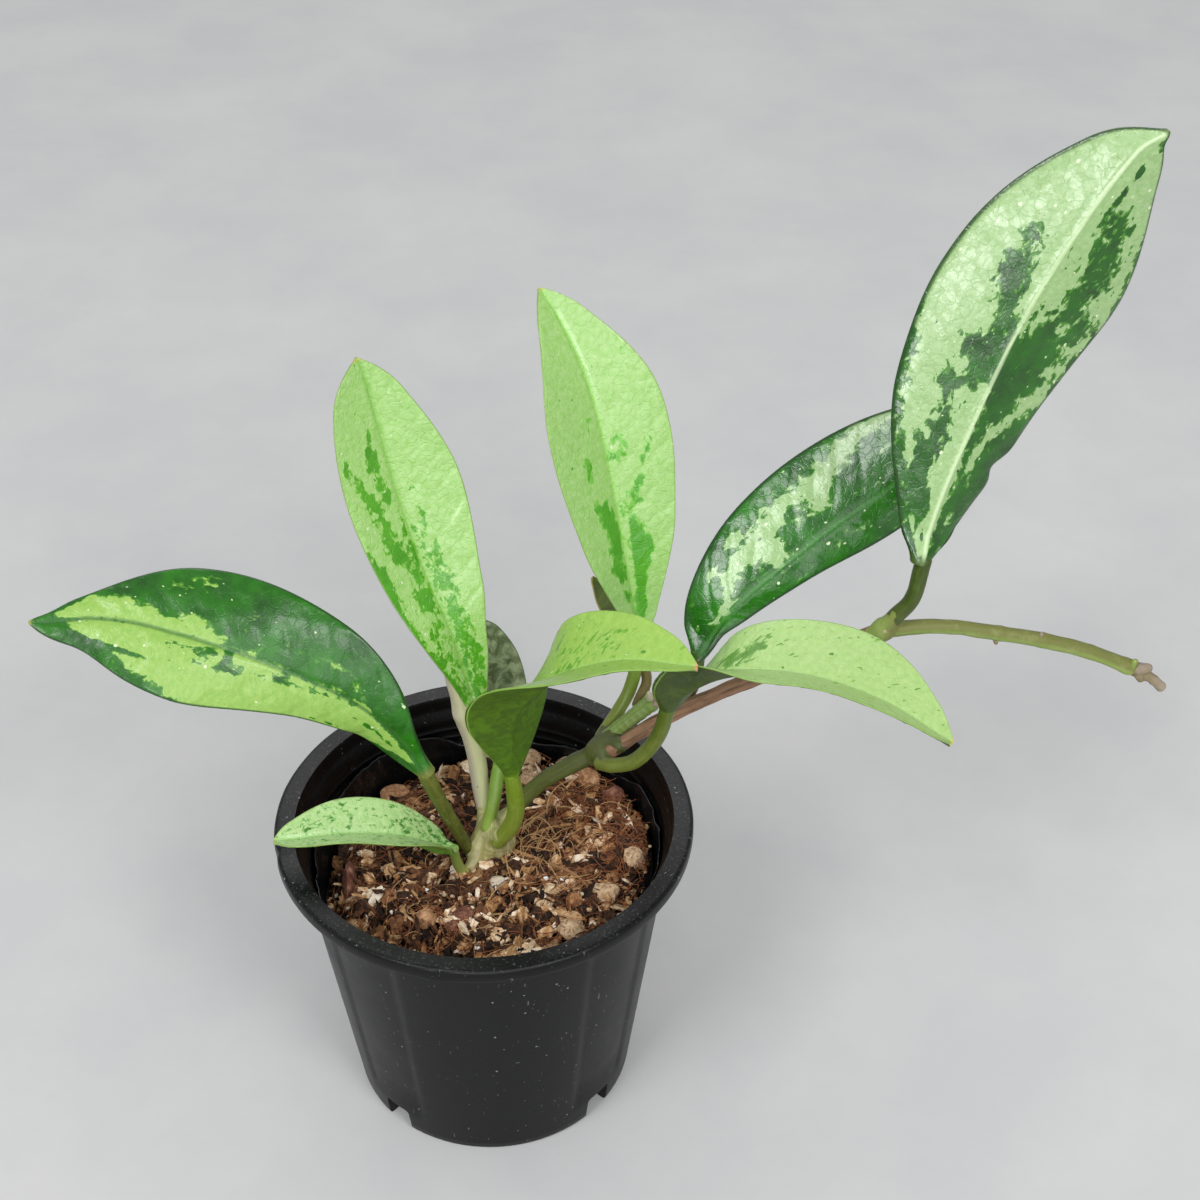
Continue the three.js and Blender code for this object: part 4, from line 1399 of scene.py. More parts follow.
@dataclass
class Litter:
    """Loose chips of one kind, strewn over the mix in one piece."""

    name: str
    ground: Ground
    shape: ChipShape
    finish: BrokenFinish
    slot: str
    count: int
    tones: tuple[float, float]
    lift: tuple[float, float] = (-1.4, 1.0)
    tilt: float = 0.6
    seed: int = 1
    variants: int = 10

    def templates(self, rng: random.Random) -> list[Mesh]:
        """Breaks a few chips of size 1 to copy."""
        made = []
        for _ in range(self.variants):
            bm = bmesh.new()
            if self.shape in (ChipShape.CRUMB, ChipShape.GRIT):
                bmesh.ops.create_icosphere(bm, subdivisions=1, radius=0.5)
                shake = 0.12
            else:
                bmesh.ops.create_cube(bm, size=1)
                bmesh.ops.subdivide_edges(bm, edges=bm.edges[:], cuts=2, use_grid_fill=True)
                shake = 0.1
                self.break_edges(bm, rng)
            for vert in bm.verts:
                vert.co += Vector([rng.uniform(-shake, shake) for _ in range(3)])
            bmesh.ops.recalc_face_normals(bm, faces=bm.faces)
            mesh = mesh_from(bm, "chip_template")
            mesh.attributes.new("tone", "FLOAT", "POINT")
            made.append(mesh)
        return made

    def break_edges(self, bm: bmesh.types.BMesh, rng: random.Random) -> None:
        """Cuts a block's outline to an uneven one, with a corner or two broken off."""
        reaches = [rng.uniform(0.32, 0.56) for _ in range(7)]
        slant = rng.uniform(-0.25, 0.25)
        for vert in bm.verts:
            turn = (math.atan2(vert.co.y, vert.co.x) / FULL_TURN) % 1.0 * 7
            leg = int(turn) % 7
            reach = reaches[leg] + (reaches[(leg + 1) % 7] - reaches[leg]) * (turn - int(turn))
            flat = math.hypot(vert.co.x, vert.co.y)
            if flat > reach:
                vert.co.x *= reach / flat
                vert.co.y *= reach / flat
            vert.co.x += slant * vert.co.z

    def build(self) -> Piece:
        """Strews the chips."""
        rng = random.Random(self.seed)
        templates = self.templates(rng)
        bm = bmesh.new()
        for _ in range(self.count):
            sizes = [rng.uniform(*span) for span in self.shape.value]
            x, y = self.ground.spot(rng, sizes[0] / 2)
            rise = rng.random()
            z = self.ground.height(x, y) + self.lift[0] + (self.lift[1] - self.lift[0]) * rise
            turn = Matrix.Rotation(rng.uniform(0, FULL_TURN), 4, "Z")
            lean = Matrix.Rotation(
                rng.gauss(0, self.tilt), 4, "X",
            ) @ Matrix.Rotation(rng.gauss(0, self.tilt), 4, "Y")
            place = Matrix.Translation(Vector((x, y, z)) * MM)
            mesh = rng.choice(templates).copy()
            mesh.transform(place @ turn @ lean @ Matrix.Diagonal([s * MM for s in sizes] + [1]))
            # chips that lie lower get a darker tone, through a quarter of the spread: painted shade among the
            # chips; the rest of the tone is random
            tone = self.tones[0] + (self.tones[1] - self.tones[0]) * (
                0.25 * rise + 0.75 * rng.random() ** 1.35
            )
            mesh.attributes["tone"].data.foreach_set("value", [tone] * len(mesh.vertices))
            bm.from_mesh(mesh)
            bpy.data.meshes.remove(mesh)
        mesh = mesh_from(bm, self.name)
        for template in templates:
            bpy.data.meshes.remove(template)
        return finish_piece(self.name, mesh, self.finish.build(), flat=True)


@dataclass
class Fibres:
    """Coir fibres and hair roots of one colour, each a thin curling thread, in one piece."""

    name: str
    ground: Ground
    finish: BrokenFinish
    count: int
    thickness: tuple[float, float]  # millimetres
    steps: tuple[int, int] = (6, 14)
    stride: float = 1.3
    curl: float = 0.5
    arch: tuple[float, float] = (0.0, 2.5)
    middle: tuple[float, float] | None = None  # centre of a tuft, or None for the whole mix
    spread: float = 10.0
    slot: str = "root"
    seed: int = 1

    def build(self) -> Piece:
        """Draws each fibre as a curve and joins them to one mesh."""
        rng = random.Random(self.seed)
        curve = bpy.data.curves.new(self.name, "CURVE")
        curve.dimensions = "3D"
        curve.bevel_depth = 0.5 * MM
        curve.bevel_resolution = 0
        curve.use_fill_caps = True
        for _ in range(self.count):
            self.draw(curve, rng)
        work = in_scene(self.name + "_work", curve)
        ready = bpy.context.evaluated_depsgraph_get()
        mesh = bpy.data.meshes.new_from_object(work.evaluated_get(ready))
        bpy.data.objects.remove(work)
        bpy.data.curves.remove(curve)
        return finish_piece(self.name, mesh, self.finish.build())

    def draw(self, curve: bpy.types.Curve, rng: random.Random) -> None:
        """Adds one fibre to the curve."""
        if self.middle:
            x = rng.gauss(self.middle[0], self.spread / 2)
            y = rng.gauss(self.middle[1], self.spread / 2)
        else:
            x, y = self.ground.spot(rng, 3)
        heading = rng.uniform(0, FULL_TURN)
        bend = rng.gauss(0, self.curl / 2)
        steps = rng.randint(*self.steps)
        arch = rng.uniform(*self.arch)
        lift = rng.uniform(-0.4, 0.9)
        radius = rng.uniform(*self.thickness)
        reach = self.ground.reach(68) - 1.0
        path = []
        for step in range(steps):
            share = step / (steps - 1)
            z = self.ground.height(x, y) + lift + arch * math.sin(math.pi * share)
            path.append((x * MM, y * MM, z * MM, 1.0))
            bend += rng.gauss(0, self.curl / 3)
            heading += bend * 0.6
            x += self.stride * math.cos(heading)
            y += self.stride * math.sin(heading)
            if math.hypot(x, y) > reach:
                heading += math.pi * 0.6
                x *= reach / (math.hypot(x, y) + 1)
                y *= reach / (math.hypot(x, y) + 1)
        spline = curve.splines.new("POLY")
        spline.points.add(steps - 1)
        for index, (point, place) in enumerate(zip(spline.points, path)):
            point.co = place
            point.radius = radius * (1.15 - 0.75 * index / steps)


@dataclass
class Chunk:
    """One larger stone or piece of bark that lies on the mix."""

    name: str
    finish: BrokenFinish
    slot: str
    at: tuple[float, float]
    size: Point
    turn: float
    ground: Ground
    facets: float = 0.22  # how deep its broken faces cut in
    planes: int = 16  # how many broken faces it has
    seed: float = 0.0

    def build(self) -> Piece:
        """Breaks the chunk out of a fine sphere with flat planes, then roughens it."""
        mesh = ball_mesh(self.name, 5)
        way = get_points(mesh)
        rng = random.Random(int(self.seed * 7) + 3)
        reach = np.full(len(way), 1.12)
        for _ in range(self.planes):
            normal = unit(np.array([rng.gauss(0, 1), rng.gauss(0, 1), rng.gauss(0, 1)]))
            distance = rng.uniform(1 - self.facets, 1.02)
            facing = np.maximum(way @ normal, 1e-3)
            reach = np.minimum(reach, distance / facing)
        body = way * reach[:, None]
        rugged = 0.05 * rough(body * 4, 1.4, self.seed) + 0.035 * rough(body * 4, 0.5, self.seed + 1)
        body = body * (1 + rugged)[:, None] * np.array(self.size)
        x, y = self.at
        centre = Vector((x, y, float(self.ground.height(x, y)) + 0.35 * self.size[2]))
        set_points(mesh, body)
        turn = Matrix.Rotation(math.radians(self.turn), 4, "Z")
        mesh.transform(Matrix.Translation(centre * MM) @ turn)
        return finish_piece(self.name, mesh, self.finish.build(), [self.name])


# ------------------------------------------------------------------ studio
@dataclass
class Studio:
    """The pale floor, the soft lights and the camera."""

    floor_size: float = 9.0  # metres
    camera_place: Point = (0.0, -0.370, 0.437)
    camera_pitch: float = 37.45  # degrees below the horizon
    camera_yaw: float = 4.53  # degrees towards +X
    lens: float = 60.0
    sensor: float = 36.0  # width in millimetres
    floor_colour: tuple[str, str] = ("#d0d0cf", "#c8c8c9")
    surround_colour: str = "#f6f8f9"
    surround_strength: float = 0.58

    def build(self) -> None:
        """Sets up everything that isn't part of the object."""
        self.build_floor()
        self.build_lights()
        self.build_camera()

    def build_floor(self) -> None:
        """Lays the floor: matt painted board, barely clouded."""
        bm = bmesh.new()
        bmesh.ops.create_grid(bm, x_segments=8, y_segments=8, size=self.floor_size / 2)
        mesh = mesh_from(bm, "floor")
        floor = in_scene("floor", mesh)
        material, add, shader = new_material("matt_painted_board")
        place = add("TexCoord").outputs["Object"]
        clouds = add("TexNoise", {"Scale": METRE / 90, "Detail": 8.0, "Roughness": 0.62}, {"Vector": place})
        spread = add("MapRange", {"From Min": 0.35, "From Max": 0.65}, {"Value": clouds})
        colour = add("Mix", dict(zip((MIX_A, MIX_B), self.floor_colour)), {0: spread}, data_type="RGBA")
        set_shader(shader, {"Base Color": colour}, Roughness=0.9, Specular_IOR_Level=0.1)
        mesh.materials.append(material)

    def add_light(
        self, name: str, place: Point, size: float, power: float, aim: Point, shades: bool
    ) -> None:
        """Hangs one soft square light.

        Args:
            name: the light's name.
            place: where it hangs, in metres.
            size: its width, in metres.
            power: its strength in watts.
            aim: the point that it faces, in metres.
            shades: False for a reflector card that only shows in glossy skins.
        """
        light = bpy.data.lights.new(name, "AREA")
        light.shape = "SQUARE"
        light.size = size
        light.energy = power
        lamp = in_scene(name, light)
        lamp.location = place
        lamp.rotation_mode = "QUATERNION"
        lamp.rotation_quaternion = (Vector(aim) - Vector(place)).to_track_quat("-Z", "Y")
        lamp.visible_diffuse = shades

    def build_lights(self) -> None:
        """Hangs a soft key, a front light, a fill, three reflector cards and an even pale surround."""
        world = bpy.data.worlds.new("studio")
        bpy.context.scene.world = world
        world.use_nodes = True
        surround = world.node_tree.nodes["Background"].inputs
        surround["Color"].default_value = linear(self.surround_colour)
        surround["Strength"].default_value = self.surround_strength
        lights = (  # place, width, watts, aim, whether it lights the matt surfaces too
            ("key", (-1.15, -1.3, 2.18), 0.95, 27.0, (0.03, 0.0, 0.12), True),
            ("front", (0.2, -2.6, 1.25), 2.0, 18.0, (0.03, 0.0, 0.15), True),
            ("fill", (0.95, -1.55, 1.7), 0.75, 18.0, (0.08, 0.0, 0.18), True),
            ("card", (-0.5, -2.08, 0.46), 0.42, 8.5, (0.12, 0.0, 0.23), False),
            ("wide_card", (0.25, -2.1, 0.36), 1.1, 4.5, (0.03, 0.0, 0.16), False),
            ("back_card", (0.0, 1.5, 1.72), 1.4, 13.0, (0.03, 0.0, 0.08), False),
        )
        for name, *settings in lights:
            self.add_light(name, *settings)
        bpy.context.scene.view_settings.view_transform = "Standard"

    def build_camera(self) -> None:
        """Stands the camera at the viewing angle."""
        data = bpy.data.cameras.new("camera")
        data.lens = self.lens
        data.sensor_width = self.sensor
        data.clip_start, data.clip_end = 0.01, 50.0
        camera = in_scene("camera", data)
        camera.location = self.camera_place
        camera.rotation_euler = (math.radians(90 - self.camera_pitch), 0, math.radians(-self.camera_yaw))
        bpy.context.scene.camera = camera


# ------------------------------------------------------------------ the plant's own finishes
OLD_LEAF_A = LeafFinish(
    "hoya_leaf_old_left", flesh="#267604", flesh_deep="#124a04", halo="#4c8a22", splash="#9cc05e",
    splash_cool="#84b24c", underside="#6d8f45", underside_deep="#55773a", rib="#2a6420", neck="#7a7c38",
    rib_strength=0.75, dots=0.6, specks=0.25, roughness=0.3, coat=0.1, dot_size=0.12, margin_mm=0.6,
    margin="#1d4a14", tip="#8a963c", emboss=0.35,
)
YOUNG_LEAF_B = LeafFinish(
    "hoya_leaf_young_low", flesh="#468430", flesh_deep="#3a7028", halo="#8cba6a", splash="#b8d494",
    splash_cool="#9cc678", underside="#86bb42", underside_deep="#6fa636", rib="#8fc868", neck="#7f9c44",
    rib_strength=0.4, dots=0.0, specks=0.95, patch_mm=1.7, teeth_mm=0.9, coat=0.25, margin="#86a852",
    emboss=0.8, tip="#a8b85c", roughness=0.3,
)
YOUNG_LEAF_C = LeafFinish(
    "hoya_leaf_young_left", flesh="#58a61f", flesh_deep="#418c12", halo="#86be4e", splash="#a8ce80",
    splash_cool="#8ec05e", underside="#7f9c57", underside_deep="#6a8748", rib="#76b13c", neck="#7aa83c",
    rib_strength=0.6, dots=0.35, ragged=0.95, patch_mm=2.2, teeth_mm=1.0, coat=0.4, margin="#7c9c4a",
    tip="#b0b858", margin_mm=0.35, emboss=0.85, roughness=0.3, dot_size=0.1,
)
LEAF_D = LeafFinish(
    "hoya_leaf_turned", flesh="#6c8048", flesh_deep="#4c5c30", halo="#7c8c5c", splash="#94a078",
    splash_cool="#808c64", underside="#a4b08a", underside_deep="#5e6c44", rib="#76b13c", neck="#6d9a30",
    margin="#4d6a32", emboss=0.9, patch_mm=2.4, coat=0.1,
)
YOUNG_LEAF_E = LeafFinish(
    "hoya_leaf_young_middle", flesh="#56a620", flesh_deep="#429216", halo="#7cc048", splash="#a6cc7e",
    splash_cool="#8cbe5c", underside="#86b04c", underside_deep="#729c40", rib="#8ccc54", neck="#7aa838",
    rib_strength=0.5, dots=0.3, specks=0.45, ragged=0.75, coat=0.4, margin="#84a452", tip="#b0bc60",
    margin_mm=0.35, emboss=0.85, roughness=0.3, dot_size=0.1,
)
LEAF_F = LeafFinish(
    "hoya_leaf_small", flesh="#55660c", flesh_deep="#3c4c08", halo="#5c6a1a", splash="#62721c",
    splash_cool="#4c5c14", underside="#52640e", underside_deep="#3c4c0a", rib="#8a8d3a", neck="#6a6a2c",
    margin="#b0a04a", tip="#b8b050", coat=0.1,
)
YOUNG_LEAF_G = LeafFinish(
    "hoya_leaf_young_arching", flesh="#6ca42c", flesh_deep="#588e24", halo="#7cb044", splash="#a0c45c",
    splash_cool="#8eb84e", underside="#4c7200", underside_deep="#3c5c00", rib="#a4d070", neck="#6c9320",
    rib_strength=0.4, dots=0.2, specks=0.2, ragged=0.95, patch_mm=2.0, teeth_mm=1.0, follow_veins=True,
    coat=0.15, margin="#86ac48", tip="#d8a070", emboss=0.7,
)
YOUNG_LEAF_H = LeafFinish(
    "hoya_leaf_young_right", flesh="#66983e", flesh_deep="#568a2e", halo="#82b052", splash="#b4d288",
    splash_cool="#a0c674", underside="#3e5400", underside_deep="#304400", rib="#a8d080", neck="#5c7818",
    rib_strength=0.4, dots=0.15, specks=0.6, ragged=0.95, patch_mm=2.0, teeth_mm=1.0, follow_veins=True,
    coat=0.15, margin="#86ac50", tip="#d8c84a", emboss=0.7,
)
OLD_LEAF_I = LeafFinish(
    "hoya_leaf_old_right", flesh="#267806", flesh_deep="#124c06", halo="#4a8a22", splash="#a6c68c",
    splash_cool="#8eb472", underside="#5c7f3c", underside_deep="#4a6c30", rib="#4c8e3c", neck="#3f5a1c",
    rib_strength=0.5, dots=0.9, specks=0.2, roughness=0.2, coat=0.3, ragged=0.8, patch_mm=3.0, dot_size=0.14,
    margin_mm=0.9, margin="#174212", emboss=0.35,
)
OLD_LEAF_J = LeafFinish(
    "hoya_leaf_old_top", flesh="#226a02", flesh_deep="#0e4002", halo="#4c8a24", splash="#a2c288",
    splash_cool="#8cb06e", underside="#5c7f3c", underside_deep="#4a6c30", rib="#cfe6b4", neck="#465c20",
    rib_strength=0.9, dots=0.9, specks=0.25, roughness=0.2, coat=0.3, ragged=0.85, patch_mm=3.2,
    dot_size=0.13, margin_mm=1.0, margin="#164208", tip="#4a6c24", emboss=0.6,
)

CROWN_RIND = RindFinish(
    "hoya_crown_rind", foot="#98845c", head="#98a058", streak="#dcd2ac", speck="#7a5a38", roughness=0.5,
    streak_strength=0.6, grain=0.5,
)
# the shade colour of this rind is painted shade down one side of the stem
SHOOT_RIND = RindFinish(
    "hoya_old_stem_rind", foot="#ccd29a", head="#dcd8ac", streak="#e0d8b4", speck="#8f7c5e",
    shaded="#c0b8a0", roughness=0.55, streak_strength=0.4,
)
VINE_RIND = RindFinish(
    "hoya_vine_rind", foot="#646e2e", head="#4c5426", streak="#3c3c1c", speck="#8a7c4c", roughness=0.5,
    streak_strength=0.55,
)
SIDE_RIND = RindFinish(
    "hoya_green_shoot_rind", foot="#7a9244", head="#8aa852", streak="#b4c488", speck="#7d6a3c",
)
WOODY_RIND = RindFinish(
    "hoya_woody_stem_bark", foot="#a47e60", head="#8c6a50", streak="#553a2a", speck="#b49474",
    roughness=0.75, streak_strength=0.85, grain=0.9,
)
# the shade colour of this rind is painted shade down one side of the vine and its knuckles
UPPER_RIND = RindFinish(
    "hoya_upper_vine_rind", foot="#70843a", head="#8aa04c", streak="#a4b070", speck="#7a7040",
    streak_strength=0.4, roughness=0.5, shaded="#6e7236", specks=0.9,
)
TIP_RIND = RindFinish(
    "hoya_dry_tip_bark", foot="#86764c", head="#9c9080", streak="#5f5038", speck="#c8b090",
    roughness=0.75, grain=0.9,
)
BUD_RIND = RindFinish(
    "hoya_bud_scale", foot="#a8a878", head="#ded6b8", streak="#ece6d0", speck="#a08860", roughness=0.55,
)
SCAR_RIND = RindFinish(
    "hoya_leaf_scar_cork", foot="#9a8870", head="#b4a08a", streak="#d0c4b0", speck="#6c5848",
    roughness=0.75, grain=0.8,
)


def petiole_rind(name: str, foot: str, head: str, streak: str = "#9cb258", specks: float = 0.5) -> RindFinish:
    """A petiole's finish, which differs from the others only in its colours.

    Args:
        name: the material's name.
        foot: colour at the stem.
        head: colour at the blade.
        streak: colour of the streaks.
        specks: share of the squares that hold a corky speck.
    """
    return RindFinish(
        name, foot=foot, head=head, streak=streak, speck="#a58d58", specks=specks, roughness=0.38,
        streak_strength=0.25, grain=0.25,
    )


PINE_BARK = BrokenFinish("pine_bark_chips", (
    (0.0, "#0c0806"), (0.22, "#20140d"), (0.36, "#402a1e"), (0.48, "#68432c"), (0.6, "#8e6240"),
    (0.71, "#b68858"), (0.81, "#d4ae84"), (0.9, "#ecd2b0"), (1.0, "#faecd8"),
), stretch=0.4)
# the mound's colour: dark bark fines, darkened to near black as painted shade in the gaps between the chips
GAP_FINES_PAINTED_SHADE = BrokenFinish(
    "bark_fines_painted_shade", ((0.0, "#070504"), (0.5, "#140d09"), (0.75, "#2c1e15"), (1.0, "#5a4030")),
    use_tone=False, variety=1.0, grain_mm=2.0,
)
# its pore colour is painted shade in the pits
PUMICE = BrokenFinish(
    "pumice_stone", ((0.0, "#8d6d4e"), (0.5, "#c7a582"), (1.0, "#e6d0b2")), use_tone=False, variety=0.9,
    pore="#7b5c40", pore_mm=1.1,
)
PERLITE = BrokenFinish(
    "perlite", ((0.0, "#cfc2ae"), (0.5, "#f0ebe2"), (1.0, "#ffffff")), variety=0.3, roughness=0.8,
)
RED_BARK = BrokenFinish(
    "red_bark_chunk", ((0.0, "#35201a"), (0.5, "#7a4c3c"), (1.0, "#b88c74")), use_tone=False, variety=0.9,
    stretch=0.35,
)
TAN_BARK = BrokenFinish(
    "tan_bark_chunk", ((0.0, "#5c3c28"), (0.5, "#a87a56"), (1.0, "#dcb48e")), use_tone=False, variety=0.9,
    stretch=0.35,
)


def fleck(start: float, end: float, low: float, high: float, shade: float, soft: float = 0.12) -> Mark:
    """A mark that swells from nothing to one width and back.

    Args:
        start: where it starts, as a share of the leaf's length.
        end: where it ends.
        low: its left side.
        high: its right side.
        shade: 1 for splash, 0 for flesh.
        soft: how softly it ends.
    """
    middle = (low + high) / 2
    quarter = (end - start) / 4
    return Mark(shade, (
        (start, middle, middle), (start + quarter, low, high), (end - quarter, low, high),
        (end, middle, middle),
    ), soft)


